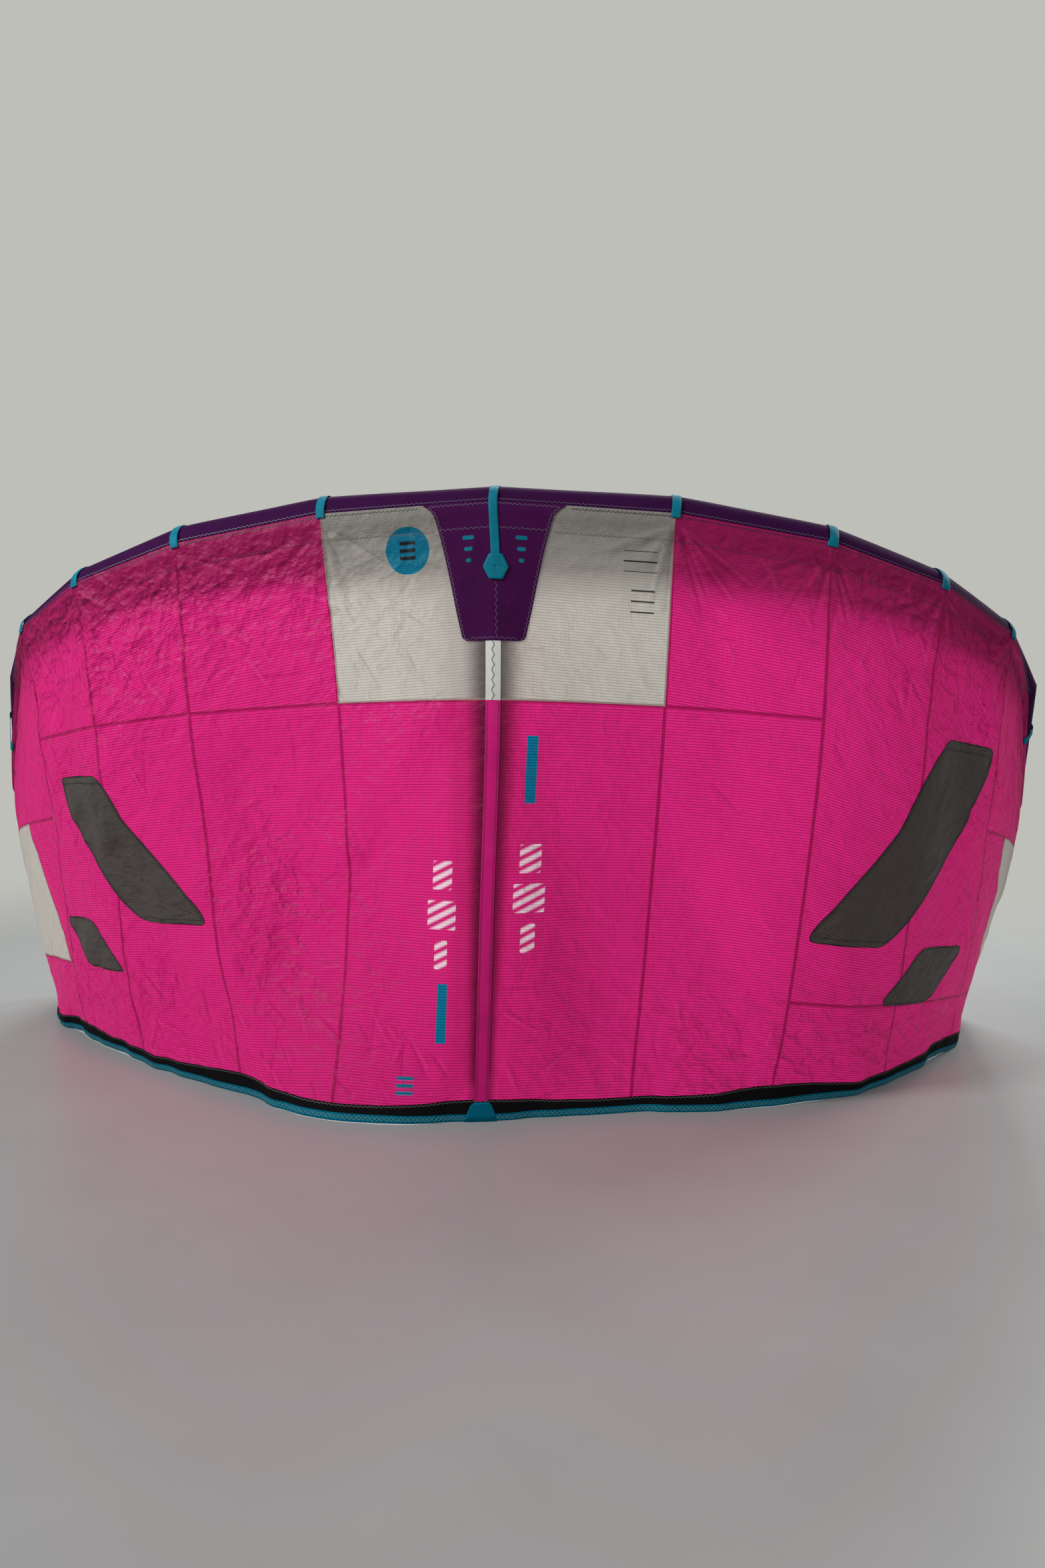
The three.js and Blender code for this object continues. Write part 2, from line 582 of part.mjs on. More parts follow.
// The centre strap runs on over the patch, down to the hexagon.
const LIFT_ANGLES = [30, 60];     // the strap rises from the tube to the patch between these angles
function centreStrap() {
  const end = HEXAGON.v - hexagonHeight - 2 * SEAM_V;
  const down = [0, 0.0125, 0.025, 0.045, FIXED_LEVEL, end].filter((v) => v <= end);
  const layer = (thick) => [
    ...STRAP_ANGLES.toReversed().map((angle) => ACROSS.map((x) => {
      const rise = 1 - smooth(angle, ...LIFT_ANGLES);
      return besideJoint(0, x, angle, lerp(GAP, TUBE_GAP + STRAP_BASE, rise) + thick);
    })),
    ...down.map((v) => ACROSS.map((x) => (
      canopyPoint((x + HEXAGON.x * v / end) * spanPerMm, v, STRAP_BASE + thick)))),
  ];
  return slab(layer(0), layer(STRAP_THICK));
}

add('strap_centre', centreStrap(), COLOUR.teal);
for (const side of [-1, 1]) {
  for (let i = 1; i <= JOINTS; i++) add(`strap_${i}_${sideName(side)}`, jointStrap(side * i), COLOUR.teal);
}

// ---------------------------------------------------------------- grey shapes on the outer panels

// Slanted bars that follow the facet lines: first column and level at the top, columns wide, rows
// high. Each row down moves one column towards the centre.
const BAR_THICK = 1;
const BAR_COLUMNS = ['side', 'outer', 'level', 'wide', 'high'];
const BAR_ROWS = [
  [-1, 3.8, 0.38, 4, 5],
  [-1, 4.0, 0.69, 3, 2],
  [1, 4.0, 0.31, 4, 6],
  [1, 3.8, 0.69, 3, 2],
];
records(BAR_COLUMNS, BAR_ROWS).forEach((bar, n) => {
  const first = SPAN_LINES.findIndex((u) => Math.abs(u - bar.side * bar.outer) < 1e-6);
  const level = LEVELS.indexOf(bar.level);
  const pairs = [];
  for (let r = 0; r <= bar.high; r++) {
    const columns = Array.from({ length: bar.wide + 1 }, (_, c) => first - bar.side * (c + r));
    columns.sort((a, b) => a - b);
    pairs.push(columns.map((c) => [SPAN_LINES[c], placeOf(LEVELS[level + r], SPAN_LINES[c])]));
  }
  const geometry = cloth(pairs, LAYER, LAYER + BAR_THICK, bar.side < 0);
  add(`grey_bar_${n % 2 + 1}_${sideName(bar.side)}`, geometry, COLOUR.grey);
});

// ---------------------------------------------------------------- place

// The origin is the middle of the bounding box, on the floor.
const box = new THREE.Box3().setFromObject(group);
const centre = box.getCenter(vec(0, 0, 0));
group.position.set(-centre.x, -centre.y, 0);

export default group;
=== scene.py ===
import json
import math

import bmesh
import bpy
import numpy as np
from mathutils import Matrix, Vector

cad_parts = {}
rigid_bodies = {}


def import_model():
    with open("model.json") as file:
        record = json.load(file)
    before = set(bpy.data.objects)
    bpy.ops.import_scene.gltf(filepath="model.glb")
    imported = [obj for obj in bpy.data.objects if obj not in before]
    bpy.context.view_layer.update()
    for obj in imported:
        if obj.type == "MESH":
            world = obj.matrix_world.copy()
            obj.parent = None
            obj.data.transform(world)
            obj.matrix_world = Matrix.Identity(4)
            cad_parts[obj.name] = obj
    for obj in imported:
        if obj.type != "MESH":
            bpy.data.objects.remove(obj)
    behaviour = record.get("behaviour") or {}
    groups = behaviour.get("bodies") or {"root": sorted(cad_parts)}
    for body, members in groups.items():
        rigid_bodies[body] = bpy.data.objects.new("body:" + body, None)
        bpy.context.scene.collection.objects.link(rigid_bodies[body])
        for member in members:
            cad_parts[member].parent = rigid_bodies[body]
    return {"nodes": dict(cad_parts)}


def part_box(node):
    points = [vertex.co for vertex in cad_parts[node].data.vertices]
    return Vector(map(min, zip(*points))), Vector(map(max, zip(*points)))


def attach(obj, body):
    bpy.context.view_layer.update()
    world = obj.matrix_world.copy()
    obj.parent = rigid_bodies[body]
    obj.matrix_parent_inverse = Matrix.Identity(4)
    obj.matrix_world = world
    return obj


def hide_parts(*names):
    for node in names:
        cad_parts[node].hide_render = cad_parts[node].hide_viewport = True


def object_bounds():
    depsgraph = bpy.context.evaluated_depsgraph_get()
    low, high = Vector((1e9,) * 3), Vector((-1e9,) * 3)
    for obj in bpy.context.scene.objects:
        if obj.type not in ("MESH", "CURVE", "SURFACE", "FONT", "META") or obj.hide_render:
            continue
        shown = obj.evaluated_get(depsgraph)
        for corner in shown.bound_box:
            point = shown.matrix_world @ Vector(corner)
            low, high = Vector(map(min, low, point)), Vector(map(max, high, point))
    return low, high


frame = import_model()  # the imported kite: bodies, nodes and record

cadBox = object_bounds()
print("frame loaded with", len(frame["nodes"]), "nodes")

mm = 0.001

# The kite from the left tip to the right one, in mm, one row for each rib station.
# leX to leR: axis and radius of the inflated leading edge. turn: degrees round the tube at which the
# cloth leaves it. up and lo: the cloth at two thirds and at one third of its height. hem: where it
# meets the floor. mid, tip and low: places of the seams across the panels along the rib.
kiteColumns = "at leX leY leZ leR turn upX upY loX loY hemX hemY mid tip low".split()
kiteRows = [
    [-7, -1530, 1000, 400, 30, 0, -1565, 1040, -1565, 1080, -1540, 1120, 0.12, 0.41, 0.79],
    [-6, -1575, 770, 770, 40, 0, -1600, 860, -1580, 920, -1535, 990, 0.17, 0.41, 0.79],
    [-5, -1463, 550, 1112, 48, -58, -1550, 640, -1519, 700, -1480, 790, 0.21, 0.41, 0.79],
    [-4, -1324, 360, 1246, 55, 0, -1318, 370, -1307, 460, -1305, 575, 0.245, 0.424, 0.79],
    [-3, -1105, 210, 1353, 64, 0, -1082, 165, -1068, 250, -1038, 348, 0.272, 0.46, 0.79],
    [-2, -820, 150, 1445, 74, 0, -800, 100, -745, 120, -683, 115, 0.291, 0.46, 0.79],
    [-1, -437, 135, 1510, 82, 0, -392, 50, -376, 65, -393, -64, 0.302, 0.46, 0.80],
    [0, 0, 118, 1528, 86, 0, 10, -35, -1, -55, -14, -38, 0.306, 0.46, 0.80],
    [1, 452, 135, 1510, 82, 0, 436, 50, 406, 90, 364, 63, 0.302, 0.46, 0.80],
    [2, 837, 150, 1445, 74, 0, 834, 80, 797, 120, 740, 136, 0.291, 0.46, 0.802],
    [3, 1117, 210, 1353, 64, 0, 1113, 170, 1108, 270, 1070, 361, 0.272, 0.46, 0.822],
    [4, 1330, 360, 1246, 55, 0, 1355, 400, 1357, 530, 1345, 721, 0.245, 0.424, 0.844],
    [5, 1463, 550, 1112, 48, -58, 1512, 660, 1462, 760, 1395, 860, 0.21, 0.41, 0.844],
    [6, 1510, 770, 770, 40, 0, 1525, 880, 1490, 950, 1435, 1010, 0.17, 0.41, 0.844],
    [7, 1480, 1000, 400, 30, 0, 1505, 1040, 1500, 1080, 1465, 1130, 0.12, 0.41, 0.844],
]
kite = {name: np.array(column, float) for name, column in zip(kiteColumns, zip(*kiteRows))}
tipAt = 7

canopy = {
    "tubeGap": 0.9 * mm,      # cloth above the tube it lies on
    "turnGap": 2.4 * mm,      # more of it between joints
    "turnLeast": 0.16,
    "tipGap": 3 * mm,         # and more past the last straight joint
    "tipRange": (4, 4.3),
    "seamAngle": 19,          # degrees of the tube that the cloth covers
    "wrapEnd": 0.025,         # share of the rib that lies on the tube
    "rounding": (0.05, 0.6),  # from straight between the joints to rounded
    "foldSpan": 0.36,         # metres for one station, where folds are measured
    "foldDrop": 1.5,          # metres from leading to trailing edge
    "foldFadeIn": (0.06, 0.16),
    "foldFadeOut": (0.93, 0.995),
    "hemHeight": 20 * mm,
    "bandHeight": 27 * mm,
    "bandWave": 8 * mm,
    "bandDrift": 0.15,
    "cloth": 1.5 * mm,        # space that one layer takes
    "print": 0.45,            # metres for one station, where prints are placed
    "layer": 1.9 * mm,        # height of a piece sewn on the canopy
    "step": 6 * mm,           # size of a mesh cell
    "floorGap": 0.4 * mm,     # least height of the trailing edge
    "tuck": 2.5 * mm / 1.4,   # how far a panel goes under the band, in v
    "probe": (0.02, 0.002),   # steps in u and v that the slope of the cloth is taken over
}

# Seams that kink sideways: station, place along the rib, reach and shift in stations.
kinks = [
    (-1, 0.575, 0.08, 0.036),
    (-2, 0.87, 0.08, 0.05),
]

# Soft folds from (u0, v0) to (u1, v1): half-width and height in mm. u counts stations from the
# centre, v runs from the leading edge, 0, to the trailing edge, 1.
foldRows = [
    (-0.45, 0.34, -1.0, 0.54, 60, 16),
    (-1.0, 0.54, -0.85, 0.80, 55, 12),
    (-1.60, 0.42, -1.35, 0.76, 110, -26),
    (-2.1, 0.62, -1.7, 0.94, 60, 14),
    (-2.9, 0.55, -2.4, 0.90, 90, -18),
    (-3.6, 0.20, -3.3, 0.52, 60, -12),
    (0.35, 0.42, 0.75, 0.90, 90, -14),
    (1.25, 0.12, 1.5, 0.46, 60, -10),
    (1.3, 0.60, 1.75, 0.92, 90, -16),
    (2.3, 0.66, 2.7, 0.95, 70, 12),
    (3.5, 0.25, 3.4, 0.66, 80, -12),
]


def unit(a):
    return a / np.linalg.norm(a, axis=-1, keepdims=True)


def smooth(x, low, high):
    t = np.clip((x - low) / (high - low), 0, 1)
    return t * t * (3 - 2 * t)


def mixed(a, b, t):
    return a + (b - a) * t


stationCount = len(kiteRows)
axisAt = np.stack([kite["leX"], kite["leY"], kite["leZ"]], 1) * mm
radiusAt = kite["leR"] * mm
ahead = np.minimum(np.arange(stationCount) + 1, stationCount - 1)
behind = np.maximum(np.arange(stationCount) - 1, 0)
alongAt = unit(axisAt[ahead] - axisAt[behind])
chordAt = np.stack([kite["upX"], kite["upY"], kite["leZ"] * 2 / 3], 1) * mm - axisAt
chordAt -= (chordAt * alongAt).sum(1, keepdims=True) * alongAt
sineAt = ((radiusAt + canopy["tubeGap"]) / np.linalg.norm(chordAt, axis=1))[:, None]
cosineAt = np.sqrt(1 - sineAt ** 2)
chordAt = unit(chordAt)
sideAt = unit(np.cross(chordAt, alongAt))
outAt = sideAt * cosineAt + chordAt * sineAt  # outermost line of the tube
upAt = sideAt * sineAt - chordAt * cosineAt


def ringPoint(i, reach, angle):  # round the tube at joint i, degrees from its outermost line
    a = np.radians(angle)[..., None]
    return axisAt[i] + np.asarray(reach)[..., None] * (np.cos(a) * outAt[i] + np.sin(a) * upAt[i])


everyJoint = np.arange(stationCount)
ribStart = ringPoint(everyJoint, radiusAt + canopy["tubeGap"], kite["turn"])
ribKnots = np.array([canopy["wrapEnd"], 1 / 3, 2 / 3, 1])
ribPoints = np.stack([
    ribStart,
    np.stack([kite["upX"] * mm, kite["upY"] * mm, ribStart[:, 2] * 2 / 3], 1),
    np.stack([kite["loX"] * mm, kite["loY"] * mm, ribStart[:, 2] / 3], 1),
    np.stack([kite["hemX"] * mm, kite["hemY"] * mm, ribStart[:, 2] * 0], 1),
], 1)
ribSlopes = np.stack([
    (ribPoints[:, min(p + 1, 3)] - ribPoints[:, max(p - 1, 0)])
    / (ribKnots[min(p + 1, 3)] - ribKnots[max(p - 1, 0)])
    for p in range(4)
], 1)


def ribAt(i, v):
    part = np.clip(np.searchsorted(ribKnots[1:3], v, side="right"), 0, 2)
    span = (ribKnots[part + 1] - ribKnots[part])[..., None]
    t = (v - ribKnots[part])[..., None] / span
    curve = (ribPoints[i, part] * (1 + 2 * t) * (1 - t) ** 2
             + ribSlopes[i, part] * t * (1 - t) ** 2 * span
             + ribPoints[i, part + 1] * t * t * (3 - 2 * t)
             + ribSlopes[i, part + 1] * t * t * (t - 1) * span)
    angle = kite["turn"][i] + canopy["seamAngle"] * (1 - v / canopy["wrapEnd"])
    arc = ringPoint(i, radiusAt[i] + canopy["tubeGap"], angle)
    return np.where((v < canopy["wrapEnd"])[..., None], arc, curve)


def offTube(p, i, t):  # out to the tube's clearance, where a straight line between joints cuts in
    line = axisAt[i + 1] - axisAt[i]
    share = np.clip(((p - axisAt[i]) * line).sum(-1) / (line * line).sum(-1), 0, 1)
    foot = axisAt[i] + line * share[..., None]
    reach = (mixed(radiusAt[i], radiusAt[i + 1], t) + canopy["tubeGap"]
             + canopy["turnGap"] * (canopy["turnLeast"] + t * (1 - t))
             + canopy["tipGap"] * smooth(np.abs(i - tipAt + t), *canopy["tipRange"]))
    away = p - foot
    length = np.linalg.norm(away, axis=-1)
    return np.where((length < reach)[..., None], foot + unit(away) * reach[..., None], p)


def bareSurface(u, v):  # the canopy without folds
    u, v = np.broadcast_arrays(np.asarray(u, float), np.asarray(v, float))
    i = np.clip(np.floor(u), -tipAt, tipAt - 1).astype(int) + tipAt
    t = u - (i - tipAt)
    p0, p1 = ribAt(np.maximum(i - 1, 0), v), ribAt(i, v)
    p2, p3 = ribAt(i + 1, v), ribAt(np.minimum(i + 2, stationCount - 1), v)
    s = t[..., None]
    rounded = (p0 * (-0.5 * s + s * s - 0.5 * s ** 3) + p1 * (1 - 2.5 * s * s + 1.5 * s ** 3)
               + p2 * (0.5 * s + 2 * s * s - 1.5 * s ** 3) + p3 * (-0.5 * s * s + 0.5 * s ** 3))
    shape = mixed(mixed(p1, p2, s), rounded, smooth(v, *canopy["rounding"])[..., None])
    return offTube(shape, i, t)


def outward(u, v):
    stepU, stepV = canopy["probe"]
    du = bareSurface(np.minimum(u + stepU, tipAt), v) - bareSurface(np.maximum(u - stepU, -tipAt), v)
    dv = bareSurface(u, np.minimum(v + stepV, 1)) - bareSurface(u, np.maximum(v - stepV, 0))
    return unit(np.cross(dv, du))


def lineDistance(u, v, row):  # metres from a line on the cloth, and the share along it
    ax, ay = (row[2] - row[0]) * canopy["foldSpan"], (row[3] - row[1]) * canopy["foldDrop"]
    px, py = (u - row[0]) * canopy["foldSpan"], (v - row[1]) * canopy["foldDrop"]
    t = np.clip((px * ax + py * ay) / (ax * ax + ay * ay), 0, 1)
    return np.hypot(px - t * ax, py - t * ay), t


def foldHeight(u, v):
    fade = smooth(v, *canopy["foldFadeIn"]) * (1 - smooth(v, *canopy["foldFadeOut"]))
    total = sum(row[5] * mm * np.exp(-(lineDistance(u, v, row)[0] / (row[4] * mm)) ** 2)
                for row in foldRows)
    return fade * total


def freeHeight(u):
    return bareSurface(u, np.full(np.shape(u), canopy["wrapEnd"]))[..., 2]


def above(u, height):  # v at a height over the floor
    return 1 - height / freeHeight(u)


def bandTop(u):
    wave = np.cos(np.pi * (u + canopy["bandDrift"] * np.sin(3 * u)))
    return above(u, canopy["hemHeight"] + canopy["bandHeight"] + canopy["bandWave"] * wave)


def seamPlace(name, u):  # the seams across the panels: mid, tip and low
    return np.interp(u, kite["at"], kite[name])


def seamLine(k, v):  # the seams down the ribs
    line = np.full(np.shape(v), float(k))
    for at, middle, reach, shift in kinks:
        if at == k:
            line = line + shift * np.exp(-((v - middle) / reach) ** 2)
    return line


wrinkles = {
    "fans": (-4, -3, -2, -1, 1, 2, 3, 4),  # joints that small creases spread from
    "fanCreases": 9,
    "fanReach": (0.05, 0.15),  # length of one, in v
    "fanWidth": (4, 8),        # mm
    "fanHeight": (1.0, 2.4),
    "fanSeed": 11,
    "bulgeSize": (170, 64),    # mm between the soft bulges, large and small
    "bulgeHeight": (5, 1.6),
    "crumpleLeast": 0.34,
    "crumpleMost": 1.5,
    "creaseScale": 2.3,        # all creases higher and wider by this much
    "creaseWiden": 1.18,
    "cavity": 0.0016,          # how far the cloth bends in one cell at the darkest creases
    "puckerPitch": 17,         # along a seam
    "puckerReach": 16,         # away from it
    "puckerHeight": 0.7,
    "edgeHeight": 12,
    "edgeFade": (0.9, 0.985),  # where the trailing edge goes slack, in v
    "edgeClear": (0.08, 0.4),  # and how far from the strut, in u
    "fadeTop": (0.012, 0.05),  # flat at the leading edge, in v
    "fadeBottom": (0.955, 0.99),
    "fadeStrut": (0.04, 0.13),  # flat where it is sewn to the strut, in u
}

# Where many small creases lie: u, v, spread in u and v, count, lean of the creases from straight down
# and its spread in degrees, longest one in mm, height in mm.
creaseZones = [
    (-3.3, 0.11, 0.8, 0.08, 80, 8, 34, 120, 1.1),
    (-2.3, 0.13, 0.7, 0.10, 60, -25, 40, 100, 1.0),
    (-1.4, 0.13, 0.5, 0.10, 34, -24, 40, 110, 0.9),
    (-0.6, 0.16, 0.4, 0.10, 34, 34, 50, 80, 0.8),
    (-3.4, 0.55, 0.6, 0.25, 70, 4, 28, 120, 0.9),
    (-1.7, 0.90, 0.8, 0.06, 60, 34, 30, 110, 1.2),
    (-1.5, 0.52, 0.9, 0.22, 34, 20, 45, 100, 0.6),
    (0.6, 0.18, 0.4, 0.09, 14, 66, 40, 80, 0.7),
    (1.5, 0.15, 0.5, 0.10, 20, 50, 45, 100, 0.7),
    (2.8, 0.09, 0.8, 0.06, 70, 14, 40, 110, 1.0),
    (3.7, 0.28, 0.45, 0.25, 60, 4, 24, 130, 1.1),
    (1.8, 0.91, 1.4, 0.05, 50, 0, 55, 90, 0.9),
    (0.8, 0.55, 0.6, 0.30, 20, 18, 50, 90, 0.5),
    (2.5, 0.55, 0.9, 0.25, 30, 8, 45, 100, 0.6),
    (-5.5, 0.50, 1.1, 0.35, 90, 4, 28, 130, 1.1),
    (5.5, 0.50, 1.1, 0.35, 90, 4, 28, 130, 1.1),
]

# Where the cloth is crumpled more: u, v, reach in u and v, and how much.
crumpledAreas = [
    (-3.6, 0.3, 0.9, 0.4, 0.9),
    (-3.2, 0.85, 1.2, 0.14, 1.1),
    (-1.4, 0.62, 0.6, 0.16, 0.9),
    (-0.7, 0.2, 0.5, 0.14, 0.6),
    (0.6, 0.22, 0.5, 0.12, 0.1),
    (-2.4, 0.2, 0.6, 0.12, 0.6),
    (-1.6, 0.12, 0.8, 0.08, 0.45),
    (-3.0, 0.12, 0.9, 0.08, 0.35),
    (3.2, 0.12, 1.0, 0.08, 0.4),
    (3.6, 0.2, 1.0, 0.2, 0.9),
    (2.4, 0.9, 1.4, 0.1, 0.7),
    (-6, 0.5, 1.5, 0.6, 0.6),
    (6, 0.5, 1.5, 0.6, 0.6),
]


def latticeNoise(x, y, seed):  # smooth noise from -1 to 1
    i, j = np.floor(x), np.floor(y)
    fx, fy = x - i, y - j
    fx, fy = fx * fx * (3 - 2 * fx), fy * fy * (3 - 2 * fy)

    def corner(a, b):
        value = np.sin((i + a) * 127.1 + (j + b) * 311.7 + seed * 74.7) * 43758.5453
        return value - np.floor(value)
    low = mixed(corner(0, 0), corner(1, 0), fx)
    high = mixed(corner(0, 1), corner(1, 1), fx)
    return mixed(low, high, fy) * 2 - 1


def fanCreases():
    rng = np.random.default_rng(wrinkles["fanSeed"])
    rows = []
    for joint in wrinkles["fans"]:
        for turn in np.linspace(-1, 1, wrinkles["fanCreases"]):
            spread = turn * 1.2 + rng.normal(0, 0.12)
            reach = rng.uniform(*wrinkles["fanReach"])
            du = math.sin(spread) * reach * canopy["foldDrop"] / canopy["foldSpan"]
            rows.append((joint + du * 0.12, 0.03, joint + du, 0.03 + math.cos(spread) * reach,
                         rng.uniform(*wrinkles["fanWidth"]),
                         rng.choice([-1, 1]) * rng.uniform(*wrinkles["fanHeight"])))
    return rows


def zoneCreases():
    rng = np.random.default_rng(wrinkles["fanSeed"] + 1)
    rows = []
    for u, v, reachU, reachV, count, lean, spread, longest, height in creaseZones:
        for _ in range(count):
            angle = math.radians(rng.normal(lean, spread))
            half = rng.uniform(0.25, 1) * longest / 2 * mm
            du = math.sin(angle) * half / canopy["foldSpan"]
            dv = math.cos(angle) * half / canopy["foldDrop"]
            cu, cv = rng.normal(u, reachU), min(max(rng.normal(v, reachV), 0.035), 0.96)
            rows.append((cu - du, cv - dv, cu + du, cv + dv, rng.uniform(5, 8.5),
                         rng.choice([-1, 1]) * height * rng.uniform(0.5, 1.3)))
    return rows


allCreases = fanCreases() + zoneCreases()


def creaseHeight(u, v):
    total = np.zeros(np.shape(u))
    for row in allCreases:
        near = ((u > min(row[0], row[2]) - 0.25) & (u < max(row[0], row[2]) + 0.25)
                & (v > min(row[1], row[3]) - 0.05) & (v < max(row[1], row[3]) + 0.05))
        if not near.any():
            continue
        distance, t = lineDistance(u[near], v[near], row)
        ends = np.sin(np.pi * np.clip(0.12 + 0.76 * t, 0, 1)) ** 0.7
        width = row[4] * wrinkles["creaseWiden"] * mm
        total[near] += row[5] * mm * ends * np.exp(-(distance / width) ** 1.5)
    return total


def crumpleAmount(u, v):
    amount = wrinkles["crumpleLeast"]
    for cu, cv, ru, rv, more in crumpledAreas:
        amount = amount + more * np.exp(-((u - cu) / ru) ** 2 - ((v - cv) / rv) ** 2)
    return np.minimum(amount, wrinkles["crumpleMost"])


def bulgeHeight(u, v):  # soft bulges, off the grid of the cloth
    x, y = u * canopy["foldSpan"] / mm, v * canopy["foldDrop"] / mm
    total = np.zeros(np.shape(u))
    for step, (size, height) in enumerate(zip(wrinkles["bulgeSize"], wrinkles["bulgeHeight"])):
        turnedX, turnedY = (x * 0.8 + y * 0.6) / size, (y * 0.8 - x * 0.6) / size
        total += height * mm * (latticeNoise(turnedX * 1.4, turnedY, 1 + step)
                                + 0.5 * latticeNoise(turnedX * 2.3, turnedY * 1.9, 21 + step))
    return total * crumpleAmount(u, v)


def seamPucker(u, v, toSide, toEnd):  # small ripples across a stitched seam
    pitch, reach = wrinkles["puckerPitch"] * mm, wrinkles["puckerReach"] * mm
    along = v * canopy["foldDrop"] / pitch
    across = u * canopy["foldSpan"] / pitch
    side = latticeNoise(along, u * 3, 31) * np.exp(-(toSide / reach) ** 2)
    end = latticeNoise(across, v * 9, 37) * np.exp(-(toEnd / reach) ** 2)
    return wrinkles["puckerHeight"] * mm * (side + end)


def slackEdge(u, v):  # small buckles of the trailing edge
    wave = latticeNoise(u * 2.6, u * 0, 51) + 0.6 * latticeNoise(u * 6.3, u * 0, 53)
    height = wrinkles["edgeHeight"] * mm * wave * smooth(v, *wrinkles["edgeFade"])
    return height * smooth(np.abs(u), *wrinkles["edgeClear"])


def wrinkleHeight(u, v):
    fade = smooth(v, *wrinkles["fadeTop"]) * (1 - 0.75 * smooth(v, *wrinkles["fadeBottom"]))
    fade = fade * (0.1 + 0.9 * smooth(np.abs(u), *wrinkles["fadeStrut"]))
    height = fade * (creaseHeight(u, v) * wrinkles["creaseScale"] + bulgeHeight(u, v))
    below = np.maximum(v - canopy["wrapEnd"], 0) * canopy["foldDrop"]
    toTube = below ** 2 / (2 * radiusAt.max()) * 0.6
    return np.maximum(height, -toTube) + slackEdge(u, v)


def clothPoint(u, v, lift, extra=0):
    u, v = np.broadcast_arrays(np.asarray(u, float), np.asarray(v, float))
    height = foldHeight(u, v) + wrinkleHeight(u, v) + lift + extra
    return bareSurface(u, v) + outward(u, v) * height[..., None]


def framePlace():  # from the tables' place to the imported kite's, by the box of the hem binding
    facets = [7, 6, 5, 5, 6, 4, 3]  # lines of the solid kite along the span
    lines = [-tipAt * 1.0]
    for k in range(-tipAt, tipAt):
        count = facets[-k - 1 if k < 0 else k]
        lines += [k + n / count for n in range(1, count + 1)]
    lines = np.array(lines)
    points = []
    for v in (np.ones(len(lines)), above(lines, canopy["hemHeight"] - 0.2 * mm)):
        for lift in (0, 3 * mm):
            height = foldHeight(lines, v) + lift
            points.append(bareSurface(lines, v) + outward(lines, v) * height[:, None])
    points = np.concatenate(points)
    low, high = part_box("hem_binding")
    middle = (np.array(low) + np.array(high)) / 2
    move = middle - (points.min(0) + points.max(0)) / 2
    return np.array([move[0], move[1], 0]), lines


toFrame, spanLines = framePlace()
print("kite placed in the frame at", [round(float(x), 4) for x in toFrame])


def makeMesh(name, points, faces, uvs):
    mesh = bpy.data.meshes.new(name)
    mesh.from_pydata((points + toFrame).tolist(), [], faces.tolist())
    corners = faces.ravel()
    for label, values in uvs.items():
        layer = mesh.uv_layers.new(name=label)
        layer.data.foreach_set("uv", values[corners].astype(np.float32).ravel())
    mesh.polygons.foreach_set("use_smooth", np.ones(len(faces), bool))
    mesh.update()
    obj = bpy.data.objects.new(name, mesh)
    bpy.context.scene.collection.objects.link(obj)
    return obj


def gridFaces(rows, cols, wrap=False, start=0):
    r, c = np.meshgrid(np.arange(rows - 1), np.arange(cols if wrap else cols - 1), indexing="ij")
    a = r * cols + c
    b = r * cols + (c + 1) % cols
    return start + np.stack([a, a + cols, b + cols, b], -1).reshape(-1, 4)


def arcLengths(points):  # metres across from the middle column, and down from the first row
    across = np.zeros(points.shape[:2])
    across[:, 1:] = np.cumsum(np.linalg.norm(np.diff(points, axis=1), axis=2), axis=1)
    across -= across[:, points.shape[1] // 2][:, None]
    down = np.zeros(points.shape[:2])
    down[1:] = np.cumsum(np.linalg.norm(np.diff(points, axis=0), axis=2), axis=0)
    return across, down


def gridArea(points):
    a, b = np.diff(points, axis=0)[:, :-1], np.diff(points, axis=1)[:-1]
    return float(np.linalg.norm(np.cross(a, b), axis=2).sum())


def sheetGrid(name, points, flatPoints=None, more=None):
    across, down = arcLengths(points if flatPoints is None else flatPoints)
    uvs = {"cloth": np.stack([across, -down], -1).reshape(-1, 2)}
    for label, values in (more or {}).items():
        uvs[label] = np.stack(values, -1).reshape(-1, 2)
    rows, cols = points.shape[:2]
    obj = makeMesh(name, points.reshape(-1, 3), gridFaces(rows, cols), uvs)
    source = points if flatPoints is None else flatPoints
    size = (float(np.ptp(across, axis=1).max()), float(down[-1].max()))
    return obj, size, gridArea(source)


def shell(name, inner, outer):  # a closed thin piece between two grids
    rows, cols = inner.shape[:2]
    points = np.concatenate([inner.reshape(-1, 3), outer.reshape(-1, 3)])
    across, down = arcLengths(outer)
    uv = np.stack([across, -down], -1).reshape(-1, 2)
    n = rows * cols
    faces = [gridFaces(rows, cols)[:, ::-1], gridFaces(rows, cols, start=n)]
    index = np.arange(n).reshape(rows, cols)
    rim = np.concatenate([index[0], index[1:, -1], index[-1, -2::-1], index[-2:0:-1, 0]])
    following = np.roll(rim, -1)
    faces.append(np.stack([rim, rim + n, following + n, following], 1))
    obj = makeMesh(name, points, np.concatenate(faces), {"cloth": np.concatenate([uv, uv])})
    fixNormals(obj)
    size = (float(np.ptp(across, axis=1).max()), float(down[-1].max()))
    return obj, size, gridArea(outer)


def fixNormals(obj, fill=False):  # and close its open ends
    bm = bmesh.new()
    bm.from_mesh(obj.data)
    if fill:
        bmesh.ops.holes_fill(bm, edges=[e for e in bm.edges if e.is_boundary], sides=0)
    bmesh.ops.recalc_face_normals(bm, faces=bm.faces)
    bm.to_mesh(obj.data)
    bm.free()


sheetNotes = []


